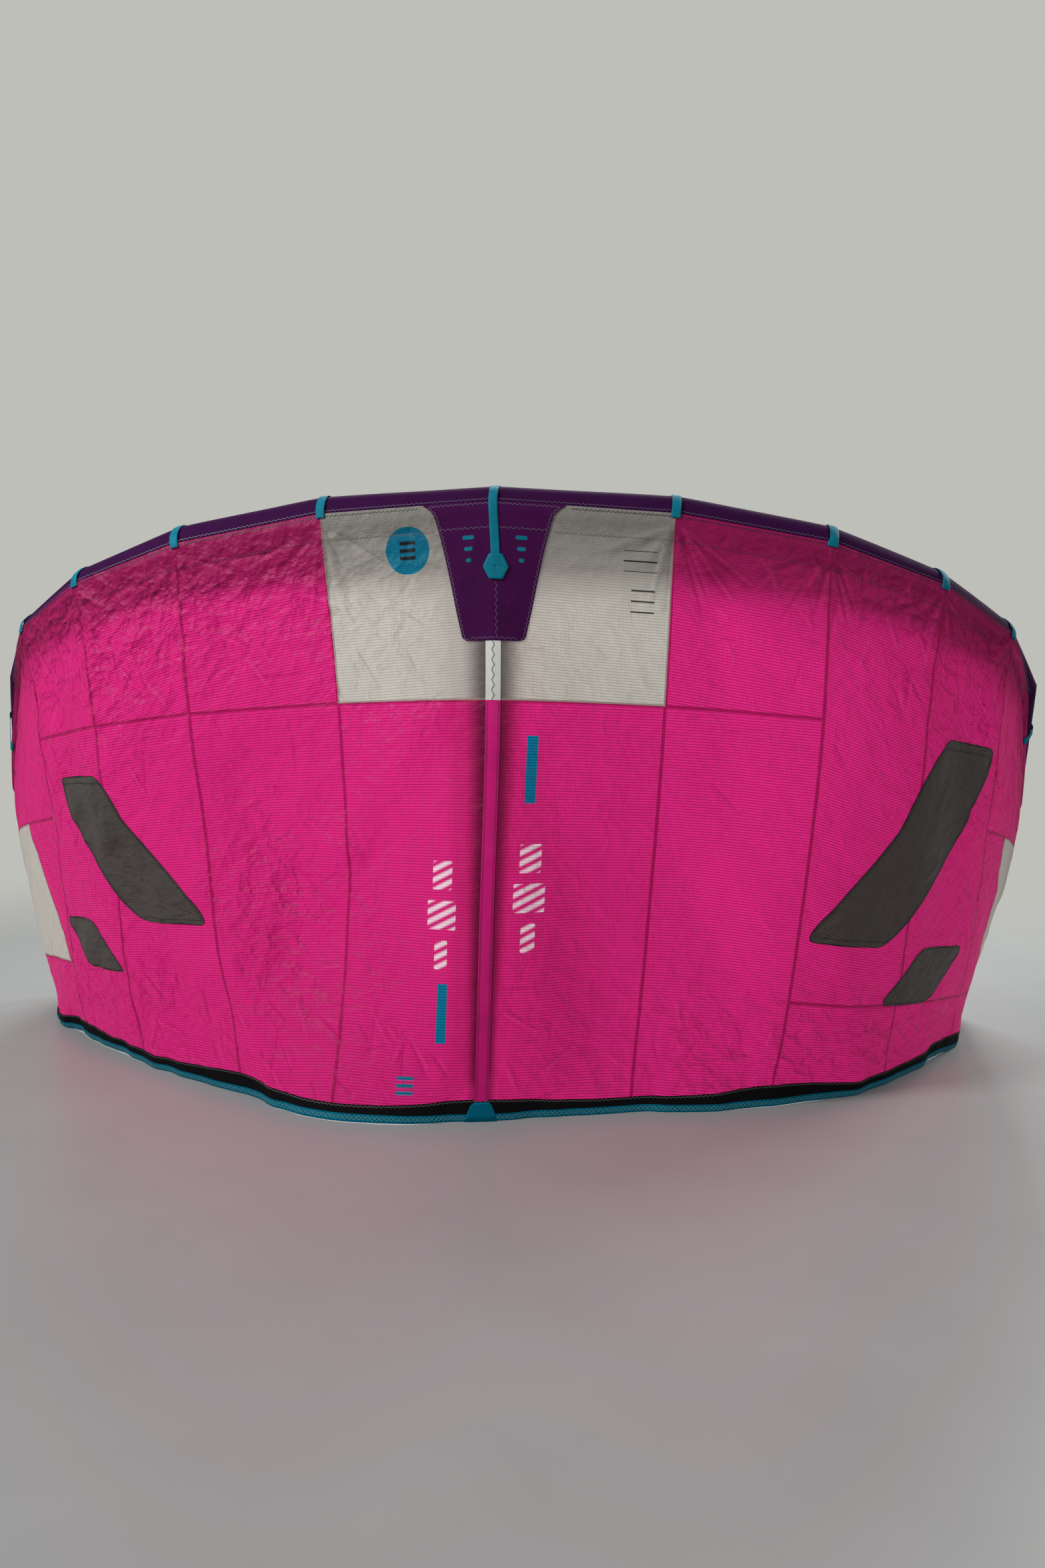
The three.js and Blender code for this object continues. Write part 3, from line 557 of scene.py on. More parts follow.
def settle(obj, material, nodes=(), flat=None, area=None):
    obj.data.materials.append(material)
    if nodes:
        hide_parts(*nodes)
    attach(obj, "root")
    if flat:
        whole = flat[0] * flat[1]
        sheetNotes.append((obj.name, flat, area or whole))
    return obj


def hexColour(text):  # sRGB as written to the linear values of the shaders
    parts = [int(text[i:i + 2], 16) / 255 for i in (1, 3, 5)]
    return (*[p / 12.92 if p <= 0.04045 else ((p + 0.055) / 1.055) ** 2.4 for p in parts], 1)


def addNode(tree, kind, inputs=None, **settings):
    node = tree.nodes.new("ShaderNode" + kind)
    for name, value in settings.items():
        setattr(node, name, value)
    for name, value in (inputs or {}).items():
        if isinstance(value, bpy.types.Node):
            value = next(output for output in value.outputs if output.enabled)
        if isinstance(value, bpy.types.NodeSocket):
            tree.links.new(value, node.inputs[name])
        else:
            node.inputs[name].default_value = value
    return node


def blend(tree, share, first, second):  # of two colours
    return addNode(tree, "Mix", {0: share, 6: first, 7: second}, data_type="RGBA")


def ramp(tree, value, low, high, atLow, atHigh):
    return addNode(tree, "MapRange", {0: value, 1: low, 2: high, 3: atLow, 4: atHigh})


def times(tree, first, second):
    return addNode(tree, "Math", {0: first, 1: second}, operation="MULTIPLY")


def timesPlus(tree, first, second, more):
    return addNode(tree, "Math", {0: first, 1: second, 2: more}, operation="MULTIPLY_ADD")


def newMaterial(name):
    material = bpy.data.materials.new(name)
    material.use_nodes = True
    material.node_tree.nodes.clear()
    return material, material.node_tree


def lineMask(tree, value, pitch, width):  # 1 on lines a pitch apart, 0 between them
    toLine = addNode(tree, "Math", {0: value, 1: pitch / 2}, operation="PINGPONG")
    return ramp(tree, toLine, width * 0.25, width * 0.75, 1, 0)


def printMask(tree, place, centre, half, rounding, stripes=None):
    # 1 inside a rounded box of ink, all in mm; stripes: pitch, width of a bar and slant
    middle = (centre[0] * canopy["print"], centre[1] * canopy["foldDrop"], 0)
    inner = ((half[0] - rounding) * mm, (half[1] - rounding) * mm, 0)
    local = addNode(tree, "VectorMath", {0: place, 1: middle}, operation="SUBTRACT")
    folded = addNode(tree, "VectorMath", {0: local}, operation="ABSOLUTE")
    past = addNode(tree, "VectorMath", {0: folded, 1: inner}, operation="SUBTRACT")
    past = addNode(tree, "VectorMath", {0: past, 1: (0, 0, 0)}, operation="MAXIMUM")
    far = addNode(tree, "VectorMath", {0: past}, operation="LENGTH")
    mask = ramp(tree, far, (rounding - 0.5) * mm, (rounding + 0.5) * mm, 1, 0)
    if stripes:
        pitch, bar, slant = stripes
        parts = addNode(tree, "SeparateXYZ", {0: local})
        line = timesPlus(tree, parts.outputs[0], slant, parts.outputs[1])
        bars = lineMask(tree, line, pitch * mm, bar * mm)
        mask = times(tree, mask, bars)
    return mask


ripstop = {
    "pitchDown": 7 * mm,       # between the heavier threads; real cloth has 5 to 8 mm
    "pitchAcross": 6.5 * mm,
    "thread": 2.4 * mm,        # width of a heavy thread, drawn wide so that it shows
    "allowance": 3.8 * mm,     # overlap on each side of a seam
    "roughness": 0.48,
    "ior": 1.53,               # polyester
    "specular": 0.24,
    "sheen": 0.03,
    "seeThrough": 0.64,        # share of light that passes the cloth
    "crumples": ((22, 0.26), (52, 0.3), (105, 0.24)),  # cells to the metre and how steep
}

# Painted shade of the strut behind the cloth: how far from the middle of the strut the colour is
# darkened, from near out to top or bottom.
strutShade = {"near": 16 * mm, "top": 100 * mm, "bottom": 48 * mm, "share": 0.62}


def ripstopCloth(name, colour, threadAndCreaseShadeColour, seamColour, ridgeWearAndHighlightColour, through=None, lines=0.5, inks=(),
                 strutShadowColour="#000000", crisp=1.0):
    # polyester ripstop, woven and coated: a crisp, slightly shiny cloth with a grid of heavier threads
    # that lets light through and shows what lies behind it
    material, tree = newMaterial(name)
    place = addNode(tree, "UVMap", uv_map="cloth")
    parts = addNode(tree, "SeparateXYZ", {0: place})
    across = lineMask(tree, parts.outputs[0], ripstop["pitchAcross"], ripstop["thread"])
    down = lineMask(tree, parts.outputs[1], ripstop["pitchDown"], ripstop["thread"])
    faint = times(tree, across, 0.5)
    threads = addNode(tree, "Math", {0: down, 1: faint}, operation="MAXIMUM")
    patches = addNode(tree, "TexNoise", {"Vector": place, "Scale": 5, "Detail": 3, "Roughness": 0.6})
    specks = addNode(tree, "TexNoise", {"Vector": place, "Scale": 38, "Detail": 2})
    speck = ramp(tree, specks, 0.74, 0.8, 0, 0.35)
    shade = ramp(tree, patches, 0.3, 0.75, 0, 0.2)
    base = blend(tree, shade, hexColour(colour), hexColour(threadAndCreaseShadeColour))
    drawn = times(tree, threads, lines)
    base = blend(tree, drawn, base, hexColour(threadAndCreaseShadeColour))
    base = blend(tree, speck, base, hexColour(seamColour))
    seeThrough = ripstop["seeThrough"] if through is None else through
    passing = timesPlus(tree, threads, -0.3 * seeThrough, seeThrough)
    if inks:  # painted shade: the strut behind the cloth, as a darker band in the colour
        printed = addNode(tree, "UVMap", uv_map="place")
        parts = addNode(tree, "SeparateXYZ", {0: printed})
        aside = addNode(tree, "Math", {0: parts.outputs[0]}, operation="ABSOLUTE")
        far = ramp(tree, parts.outputs[1], 0.3, 1.3, strutShade["top"], strutShade["bottom"])
        dim = addNode(tree, "MapRange",
                      {0: aside, 1: strutShade["near"], 2: far, 3: strutShade["share"], 4: 0},
                      interpolation_type="SMOOTHSTEP")
        base = blend(tree, dim, base, hexColour(strutShadowColour))
    # Crumples: cells of cloth between sharp small creases, longer than wide, bent off their grid.
    bend = addNode(tree, "TexNoise", {"Vector": place, "Scale": 9, "Detail": 2})
    bent = addNode(tree, "VectorMath", {0: bend.outputs["Color"], 1: (0.05, 0.05, 0), 2: place},
                   operation="MULTIPLY_ADD")
    stretched = addNode(tree, "VectorMath", {0: bent, 1: (0.8, 1, 1)}, operation="MULTIPLY")
    crumple = 0
    for cells, slope in ripstop["crumples"]:
        cell = addNode(tree, "TexVoronoi", {"Vector": stretched, "Scale": cells}, distance="EUCLIDEAN")
        crumple = timesPlus(tree, cell.outputs["Distance"], slope / cells / mm, crumple)
    amount = addNode(tree, "SeparateXYZ", {0: addNode(tree, "UVMap", uv_map="crumple")})
    much = times(tree, amount.outputs[0], crisp)
    crumple = times(tree, crumple, much)
    # Painted shade and highlight: deeper colour in the valleys of the creases stands in for their shade;
    # the pale ridges are partly worn coating and partly painted highlight.
    valley = ramp(tree, amount.outputs[1], 0.12, 1, 0, 0.6)
    ridge = ramp(tree, amount.outputs[1], -0.3, -1, 0, 0.08)
    base = blend(tree, valley, base, hexColour(threadAndCreaseShadeColour))
    base = blend(tree, ridge, base, hexColour(ridgeWearAndHighlightColour))
    # Painted shade: thin dark lines along the edges of the crumple cells, for the small creases, in some
    # places only.
    line = addNode(tree, "TexVoronoi", {"Vector": stretched, "Scale": 20}, feature="DISTANCE_TO_EDGE")
    thin = ramp(tree, line, 0, 0.05, 0.3, 0)
    thin = times(tree, thin, much)
    some = ramp(tree, bend, 0.42, 0.62, 0, 1)
    thin = times(tree, thin, some)
    base = blend(tree, thin, base, hexColour(threadAndCreaseShadeColour))
    for ink, threadInk, centre, half, rounding, stripes in inks:
        mask = printMask(tree, printed, centre, half, rounding, stripes)
        shown = blend(tree, drawn, hexColour(ink), hexColour(threadInk))
        base = blend(tree, mask, base, shown)
    crinkle = addNode(tree, "TexNoise", {"Vector": place, "Scale": 120, "Detail": 3, "Roughness": 0.6})
    height = timesPlus(tree, crinkle, 0.5, crumple)
    height = timesPlus(tree, threads, 0.12, height)
    edge = addNode(tree, "SeparateXYZ", {0: addNode(tree, "UVMap", uv_map="edges")})
    near = addNode(tree, "Math", {0: edge.outputs[0], 1: edge.outputs[1]}, operation="MINIMUM")
    wide = ripstop["allowance"]
    seam = ramp(tree, near, wide, wide + 1.2 * mm, 1, 0)
    row = ramp(tree, near, 0, 1.4 * mm, 0.22, 0)
    cover = times(tree, seam, 0.95)
    base = blend(tree, cover, base, hexColour(seamColour))
    base = blend(tree, row, base, hexColour("#3c0a24"))
    passing = timesPlus(tree, seam, -0.35 * seeThrough, passing)
    height = timesPlus(tree, seam, 0.8, height)
    bump = addNode(tree, "Bump", {"Strength": 1.0, "Distance": 1 * mm, "Height": height})
    middle = ripstop["roughness"]
    rough = ramp(tree, crinkle, 0.3, 0.7, middle - 0.08, middle + 0.1)
    front = addNode(tree, "BsdfPrincipled", {
        "Base Color": base, "Roughness": rough, "IOR": ripstop["ior"], "Normal": bump,
        "Sheen Weight": ripstop["sheen"], "Specular IOR Level": ripstop["specular"]})
    behind = addNode(tree, "BsdfTranslucent", {"Color": base, "Normal": bump})
    both = addNode(tree, "MixShader", {0: passing, 1: front, 2: behind})
    addNode(tree, "OutputMaterial", {0: both})
    return material


dacron = {
    "pitch": 3 * mm,          # real threads are under 1 mm apart, drawn coarser so that they show
    "roughness": 0.46,
    "ior": 1.53,
    "specular": 0.03,
    "sheen": 0.0,
}


def dacronCloth(name, colour, darker, lighter, weave=0.35, roughness=None):
    # heavy woven polyester, heat-set: stiff and smooth, with soft highlights and a faint weave
    material, tree = newMaterial(name)
    place = addNode(tree, "UVMap", uv_map="cloth")
    parts = addNode(tree, "SeparateXYZ", {0: place})
    warp = lineMask(tree, parts.outputs[0], dacron["pitch"], dacron["pitch"])
    weft = lineMask(tree, parts.outputs[1], dacron["pitch"], dacron["pitch"])
    threads = times(tree, warp, weft)
    wear = addNode(tree, "TexNoise", {"Vector": place, "Scale": 9, "Detail": 5, "Roughness": 0.65})
    rub = ramp(tree, wear, 0.52, 0.8, 0, 0.35)
    shade = ramp(tree, wear, 0.5, 0.25, 0, 0.6)
    drawn = times(tree, threads, weave)
    base = blend(tree, shade, hexColour(colour), hexColour(darker))
    base = blend(tree, rub, base, hexColour(lighter))
    base = blend(tree, drawn, base, hexColour(lighter))
    fine = addNode(tree, "TexNoise", {"Vector": place, "Scale": 160, "Detail": 3})
    height = timesPlus(tree, threads, 0.15, 0)
    height = timesPlus(tree, fine, 0.5, height)
    bump = addNode(tree, "Bump", {"Strength": 1.0, "Distance": 1 * mm, "Height": height})
    middle = dacron["roughness"] if roughness is None else roughness
    rough = ramp(tree, wear, 0.3, 0.7, middle - 0.07, middle + 0.1)
    shader = addNode(tree, "BsdfPrincipled", {
        "Base Color": base, "Roughness": rough, "IOR": dacron["ior"], "Normal": bump,
        "Sheen Weight": dacron["sheen"], "Specular IOR Level": dacron["specular"]})
    addNode(tree, "OutputMaterial", {0: shader})
    return material


def webbing(name, colour, darker, pitch=2.5 * mm, slant=0.5):
    # woven polyester webbing: matt, with ribs that run slantwise over it
    material, tree = newMaterial(name)
    place = addNode(tree, "UVMap", uv_map="cloth")
    parts = addNode(tree, "SeparateXYZ", {0: place})
    line = timesPlus(tree, parts.outputs[0], slant, parts.outputs[1])
    ribs = lineMask(tree, line, pitch, pitch)
    wear = addNode(tree, "TexNoise", {"Vector": place, "Scale": 30, "Detail": 4})
    shade = ramp(tree, wear, 0.35, 0.7, 0, 0.5)
    drawn = times(tree, ribs, 0.35)
    base = blend(tree, shade, hexColour(colour), hexColour(darker))
    base = blend(tree, drawn, base, hexColour(darker))
    bump = addNode(tree, "Bump", {"Strength": 1.0, "Distance": 0.3 * mm, "Height": ribs})
    shader = addNode(tree, "BsdfPrincipled", {
        "Base Color": base, "Roughness": 0.62, "IOR": 1.53, "Normal": bump, "Specular IOR Level": 0.1})
    addNode(tree, "OutputMaterial", {0: shader})
    return material


def thread(name, colour):
    # bonded polyester thread, lock-stitched: thin dull lines that catch a little light
    material, tree = newMaterial(name)
    place = addNode(tree, "UVMap", uv_map="cloth")
    twist = addNode(tree, "TexNoise", {"Vector": place, "Scale": 400, "Detail": 2})
    base = blend(tree, twist, hexColour(colour), (0, 0, 0, 1))
    shader = addNode(tree, "BsdfPrincipled", {"Base Color": base, "Roughness": 0.55, "IOR": 1.53})
    addNode(tree, "OutputMaterial", {0: shader})
    return material


# Printed marks, plain shapes: ink, ink on the threads, place in u and v, half size and rounding in mm,
# and pitch, width and slant of the bars where the shape is made of bars.
teal, tealThreads, dark = "#027da4", "#025a76", "#1c1c1e"
whiteInks = [
    ("#0094bb", "#006f8f", (-0.5, 0.0745), (58, 54), 54, None),
    (dark, dark, (-0.5, 0.0745), (21, 23), 2, (17, 9, 0)),
    (dark, dark, (0.82, 0.085), (42, 24), 1, (24, 3.5, 0)),
    (dark, dark, (0.84, 0.145), (30, 36), 1, (24, 3.5, 0)),
]
pinkInks = [
    (teal, tealThreads, (0.24, 0.414), (15, 82), 2, None),
    (teal, tealThreads, (-0.28, 0.819), (15, 74), 2, None),
    (teal, tealThreads, (-0.5, 0.939), (25, 26), 3, (18, 9, 0)),
]
for n, half in enumerate((30, 44, 20)):
    for middleU, middleV in ((-0.3, 0.59), (0.26, 0.56)):
        middle = middleU, middleV + n * 0.066
        pinkInks.append(("#f6e6ee", "#e6b9cf", middle, (half, 36), 5, (26, 13, 0.45)))

pinkColours = "#ee2c8a", "#b01260", "#b0085a", "#f673b2"  # cloth, threads and painted crease shade, seams, ridges worn and with painted highlight
whiteColours = "#cdc9bf", "#a09d95", "#a78c86", "#e4e1d8"
# Painted shade: the tube is the same purple dacron as the patch, drawn darker against the light that
# falls on its top.
shadedTubeColours = "#2f0b36", "#1f0624", "#401648"

finishes = {
    "pink": ripstopCloth("pink coated ripstop", *pinkColours, lines=0.95),
    "white": ripstopCloth("white coated ripstop", *whiteColours, lines=0.7, crisp=0.55),
    "grey": ripstopCloth("grey coated ripstop", "#5c5a55", "#363431", "#211c1c", "#7d7973",
                         through=0.2, lines=0.7),
    "pinkPrinted": ripstopCloth("pink printed ripstop", *pinkColours, lines=0.95,
                                inks=pinkInks, strutShadowColour="#4e0a2c"),
    "whitePrinted": ripstopCloth("white printed ripstop", *whiteColours, lines=0.7,
                                 inks=whiteInks, strutShadowColour="#4c4b49", crisp=0.55),
    "purple": dacronCloth("purple woven polyester", "#3c0b3e", "#270629", "#4c184f", roughness=0.66),
    "tubePurpleShaded": dacronCloth("shaded purple woven polyester", *shadedTubeColours, roughness=0.75),
    "strut": dacronCloth("pink woven polyester", "#d02a7c", "#a31a5c", "#e0559a"),
    "pinkTape": dacronCloth("pink polyester tape", "#d4127a", "#a00f5c", "#e0448f", 0.25),
    "whiteTape": dacronCloth("white polyester tape", "#d6d8d0", "#b0b3ab", "#e6e6de", 0.25),
    "black": dacronCloth("black woven polyester", "#0e0e10", "#060608", "#1e1e22", 0.3, 0.6),
    "tealTape": dacronCloth("teal polyester tape", "#00617c", "#00465a", "#0a7894", 0.3, 0.7),
    "teal": webbing("teal woven webbing", "#028099", "#025c70"),
    "roseThread": thread("crimson polyester thread", "#980f58"),
    "greyThread": thread("grey polyester thread", "#8d8a84"),
    "plumThread": thread("plum polyester thread", "#7a6a8c"),
    "darkThread": thread("dark polyester thread", "#1c0f20"),
    "tealThread": thread("teal polyester thread", "#57bccd"),
}
print("materials made:", len(finishes))


def rowPlace(name):  # a seam across the panels as v for each u
    if name == "top":
        return lambda u: np.zeros(np.shape(u))
    if name == "band":
        return lambda u: bandTop(u) + canopy["tuck"]
    return lambda u: seamPlace(name, u)


def panelGrid(left, right, top, bottom):
    # left and right give u for v, top and bottom give v for u
    guess = np.array([0.5])
    spanU = float((right(guess) - left(guess))[0])
    middleU = float(((right(guess) + left(guess)) / 2)[0])
    high = top(np.array([middleU]))[0]
    low = bottom(np.array([middleU]))[0]
    ends = bareSurface(np.array([middleU - spanU / 2, middleU + spanU / 2]), np.array([0.5, 0.5]))
    width = max(abs(spanU) * 0.3, float(np.linalg.norm(ends[1] - ends[0])))
    cols = max(8, round(width / canopy["step"]))
    rows = max(8, round((low - high) * canopy["foldDrop"] / canopy["step"]))
    s, t = np.meshgrid(np.linspace(0, 1, cols + 1), np.linspace(0, 1, rows + 1))
    u, v = middleU + (s - 0.5) * spanU, high + t * (low - high)
    for _ in range(3):  # each border bends with the place along the other one
        u = mixed(left(v), right(v), s)
        v = mixed(top(u), bottom(u), t)
    return u, v, s, t


def cavity(height):  # 1 in the sharpest valleys of the cloth and -1 on its sharpest ridges
    bend = np.zeros(height.shape)
    bend[:, 1:-1] += height[:, 2:] + height[:, :-2] - 2 * height[:, 1:-1]
    bend[1:-1] += height[2:] + height[:-2] - 2 * height[1:-1]
    return np.clip(bend / wrinkles["cavity"], -1, 1)


def makePanel(name, left, right, top, bottom, finish, nodes):
    u, v, s, t = panelGrid(left, right, top, bottom)
    flat = bareSurface(u, v)
    across, down = arcLengths(flat)
    toSide = np.minimum(across - across[:, :1], across[:, -1:] - across)
    toTop = down if top(np.zeros(1))[0] > 0 else down + 1  # the top lies under the binding of the tube
    toEnd = np.minimum(toTop, down[-1:] - down)
    height = seamPucker(u, v, toSide, toEnd) * smooth(v, *wrinkles["fadeTop"])
    points = clothPoint(u, v, canopy["cloth"] / 2, height)
    obj, size, area = sheetGrid(name, points, flat, {
        "edges": (toSide, toEnd),
        # its second value sets the painted shade and highlight of the creases
        "crumple": (crumpleAmount(u, v), cavity(wrinkleHeight(u, v))),
        "place": (u * canopy["print"], v * canopy["foldDrop"])})
    return settle(obj, finishes[finish], nodes, size, area)


sides = (("left", -1), ("right", 1))
columns = {"inner": (0, 1), "second": (1, 2), "third": (2, 3), "fourth": (3, 4)}


def seamU(k):
    return lambda v: seamLine(k, v)


for word, side in sides:
    for column, (a, b) in columns.items():
        low, high = min(side * a, side * b), max(side * a, side * b)
        across = "low" if side > 0 and column in ("third", "fourth") else "mid"
        for part, top, bottom in (("upper", "top", across), ("lower", across, "band")):
            white = column == "inner" and part == "upper"
            finish = ("white" if white else "pink") + ("Printed" if column == "inner" else "")
            makePanel(f"panel_{column}_{part}_{word}", seamU(low), seamU(high), rowPlace(top),
                      rowPlace(bottom), finish,
                      [f"canopy_{column}_{part}_{word}"])

# The slanted seam between the pink wedge and the white panel of a tip: u at its top and at its
# bottom, and v at its bottom.
slants = {"left": (4.6, 4.05, 0.79), "right": (4.5, 4.7, 0.844)}


def straightU(u):
    return lambda v: np.full(np.shape(v), u)


def slantU(word, side):
    start, end, low = slants[word]
    return lambda v: side * mixed(start, end, np.clip((v - 0.42) / (low - 0.42), 0, 1))


for word, side in sides:
    inner = straightU(4.0 * side)
    tip = straightU(float(tipAt * side))
    slant = slantU(word, side)
    for part, a, b, top, bottom, finish in (
            ("upper", inner, tip, "top", "tip", "pink"), ("lower", inner, tip, "low", "band", "pink"),
            ("wedge", inner, slant, "tip", "low", "pink"), ("white", slant, tip, "tip", "low", "white")):
        low, high = (b, a) if side < 0 else (a, b)
        makePanel(f"panel_tip_{part}_{word}", low, high, rowPlace(top), rowPlace(bottom), finish,
                  [f"canopy_tip_{part}_{word}"])
print("canopy panels made")


tube = {
    "around": 96,
    "step": 9 * mm,
    "under": 0.3 * mm,       # the cloth case lies this much inside its solid
    "creaseReach": 46 * mm,  # crumples beside the joints
    "creaseHeight": 2.2 * mm,
    "creases": 15,           # round the tube
    "dome": 8,               # rings of the round end
    "domeReach": 0.9,        # its length, by the radius
}


def tubeRings(k, side):  # rings of a segment of the leading edge from joint k outwards
    i, j = side * k + tipAt, side * (k + 1) + tipAt
    length = float(np.linalg.norm(axisAt[j] - axisAt[i]))
    shares = np.linspace(0, 1, max(4, round(length / tube["step"])))
    angles = np.linspace(0, 360, tube["around"], endpoint=False)
    a, t = np.meshgrid(angles, shares)
    here = ringPoint(np.full(a.shape, i), radiusAt[i] - tube["under"], a)
    there = ringPoint(np.full(a.shape, j), radiusAt[j] - tube["under"], a)
    points = mixed(here, there, t[..., None])
    axis = mixed(axisAt[i], axisAt[j], t[..., None])
    toJoint = np.minimum(t if abs(k) > 0 else 1, 1 - t if k < 6 else 1) * length
    phase = a / 360 * tube["creases"]
    ridge = latticeNoise(phase, np.full(a.shape, k + 0.5), 3 + k * side) * 0.6
    ridge += latticeNoise(phase * 2.3, toJoint / 0.02, 9 + k * side) * 0.4
    dent = tube["creaseHeight"] * np.exp(-(toJoint / tube["creaseReach"]) ** 1.2) * (0.5 + 0.5 * ridge)
    soft = 0.8 * mm * (0.5 + 0.5 * latticeNoise(a / 24, t * length / 0.16, 17 + k * side))
    points = points - unit(points - axis) * (dent + soft)[..., None]
    return points, length


def closeTube(name, rings):
    rows, cols = rings.shape[:2]
    faces = gridFaces(rows, cols, wrap=True)
    points = rings.reshape(-1, 3)
    around = np.tile(np.arange(cols) / cols, (rows, 1)) * 2 * np.pi * 0.06
    down = arcLengths(rings)[1]
    uv = np.stack([around, down], -1).reshape(-1, 2)
    obj = makeMesh(name, points, faces, {"cloth": uv})
    fixNormals(obj, fill=True)
    return obj


for word, side in sides:
    for k in range(6):
        rings = tubeRings(k, side)[0]
        if k == 5:  # runs on round the last bend and ends in a dome
            rings = np.concatenate([rings, tubeRings(6, side)[0][1:]])
            lastAt = (side + 1) * tipAt
            last, end = axisAt[lastAt], rings[-1]
            away = side * alongAt[lastAt] * radiusAt[lastAt]
            lift = np.linspace(0, math.pi / 2, tube["dome"], endpoint=False)[1:]
            domes = [last + (end - last) * math.cos(x) + away * math.sin(x) * tube["domeReach"]
                     for x in lift]
            rings = np.concatenate([rings, np.stack(domes)])
        obj = closeTube(f"tube_{k + 1}_{word}", rings)
        settle(obj, finishes["tubePurpleShaded"], [f"leading_edge_{k + 1}_{word}"])

strut = {"radius": 52 * mm, "endRadius": 27 * mm, "top": 0.06, "bottom": 0.9, "gap": 1.6 * mm,
         "clear": 4 * mm, "lip": 15 * mm, "around": 48, "rings": 120, "bodyTop": 0.1,
         "endReach": 0.022, "endRings": 8}


def strutRings():
    rings = []
    angles = np.linspace(0, 2 * np.pi, strut["around"], endpoint=False)
    cuts = [(strut["top"], share, True) for share in (0.3, 0.6, 0.85, 1)]
    body = [(v, 1, False) for v in np.linspace(strut["bodyTop"], strut["bottom"], strut["rings"])]
    end = [(strut["bottom"] + strut["endReach"] * math.sin(x), math.cos(x), False)
           for x in np.linspace(0, math.pi / 2, strut["endRings"], endpoint=False)[1:]]
    for v, share, cut in cuts + body + end:
        along = min((v - strut["top"]) / (strut["bottom"] - strut["top"]), 1)
        radius = mixed(strut["radius"], strut["endRadius"], along)
        n = outward(np.zeros(1), np.array([v]))[0]
        fold = float(foldHeight(np.zeros(1), np.array([v]))[0])
        centre = bareSurface(np.zeros(1), np.array([v]))[0] + n * (fold - radius - strut["gap"])
        soft = 1 - 0.02 * (0.5 + 0.5 * latticeNoise(angles * 1.3, np.full(angles.shape, v * 24), 41))
        size = radius * share * soft
        ring = centre + np.outer(size * np.cos(angles), [1, 0, 0]) + np.outer(size * np.sin(angles), n)
        if cut:  # shaped to the round of the leading edge
            joint = axisAt[tipAt]
            reach = radiusAt[tipAt] + strut["clear"]
            under = np.sqrt(np.maximum(reach ** 2 - (ring[:, 1] - joint[1]) ** 2, 0))
            ring[:, 2] = np.minimum(joint[2] - under, centre[2] + strut["lip"])
        rings.append(ring)
    return np.stack(rings)


strutPiece = closeTube("strut", strutRings())
settle(strutPiece, finishes["strut"], ["centre_strut"])
print("tubes made")


def edgeSheet(name, us, vs, lifts):
    u, v = np.meshgrid(us, np.zeros(len(vs)))
    v = np.stack(vs)
    lift = np.stack([np.full(len(us), x) for x in lifts])
    height = foldHeight(u, v) + wrinkleHeight(u, v) + lift
    points = bareSurface(u, v) + outward(u, v) * height[..., None]
    points[..., 2] = np.maximum(points[..., 2], canopy["floorGap"])
    return sheetGrid(name, points)


edge = {
    "stepU": 0.02,
    "bandRows": 9,
    # the tape goes down the back and up the front: height above the hem and lift off the cloth, mm
    "tapeHeight": (20, 15, 10, 5, 1.5, 0.2, 0.2, 1.5, 5, 10, 15, 20),
    "tapeLift": (0.3, 0.2, 0.1, 0.1, 0.3, 1, 2, 2.8, 3, 3, 2.9, 2.8),
    "patchHalf": (18, 26, 32, 37, 40),  # mm, from the top of the small centre patch down
    "patchHeight": (51, 44, 30, 15, 0.5),
    "patchLow": 3.4 * mm,
    "patchThick": 1.2 * mm,
}

edgeU = np.clip(np.arange(-tipAt, tipAt + edge["stepU"] / 2, edge["stepU"]), -tipAt, tipAt)
bandShares = np.linspace(0, 1, edge["bandRows"])
bandV = [mixed(bandTop(edgeU) - 0.002, above(edgeU, 6 * mm), t) for t in bandShares]
obj, size, area = edgeSheet("hem_cloth_black", edgeU, bandV, [canopy["cloth"]] * edge["bandRows"])
settle(obj, finishes["black"], ["hem_band"], size, area)

tapeV = [above(edgeU, h * mm) for h in edge["tapeHeight"]]
obj, size, area = edgeSheet("hem_tape_teal", edgeU, tapeV, [x * mm for x in edge["tapeLift"]])
settle(obj, finishes["tealTape"], ["hem_binding"], size, area)

hemPerMm = 1 / abs(kite["hemX"][tipAt + 1] - kite["hemX"][tipAt])
patchU = np.stack([np.linspace(-w, w, 17) * hemPerMm for w in edge["patchHalf"]])
patchV = np.stack([above(row, h * mm) for row, h in zip(patchU, edge["patchHeight"])])


def clothShell(name, u, v, low, high):
    grids = [clothPoint(u, v, lift) for lift in (low, high)]
    for grid in grids:
        grid[..., 2] = np.maximum(grid[..., 2], canopy["floorGap"])
    return shell(name, *grids)


obj, size, area = clothShell("hem_patch_teal", patchU, patchV, edge["patchLow"],
                             edge["patchLow"] + edge["patchThick"])
settle(obj, finishes["tealTape"], ["hem_patch"], size, area)
print("trailing edge made")


centre = {
    "patchLevels": (0, 0.0125, 0.025, 0.045, 0.075, 0.10, 0.13, 0.17, 0.2165),
    "patchHalf": (184, 165, 152, 143, 131, 122, 112, 99, 82),  # mm from the middle
    "corner": 13,         # mm, round lower corners
    "patchLift": 3.4 * mm,
    "strapLift": 5 * mm,
    "strapThick": 1.2 * mm,
    "hexagonV": 0.107,
    "hexagonX": 8,
    "hexagonRadius": 33,
    "stripHalf": 20,
    "stripDrop": 1.45,    # metres of cloth down the strut
}
perMm = 1 / kite["leX"][tipAt + 1]


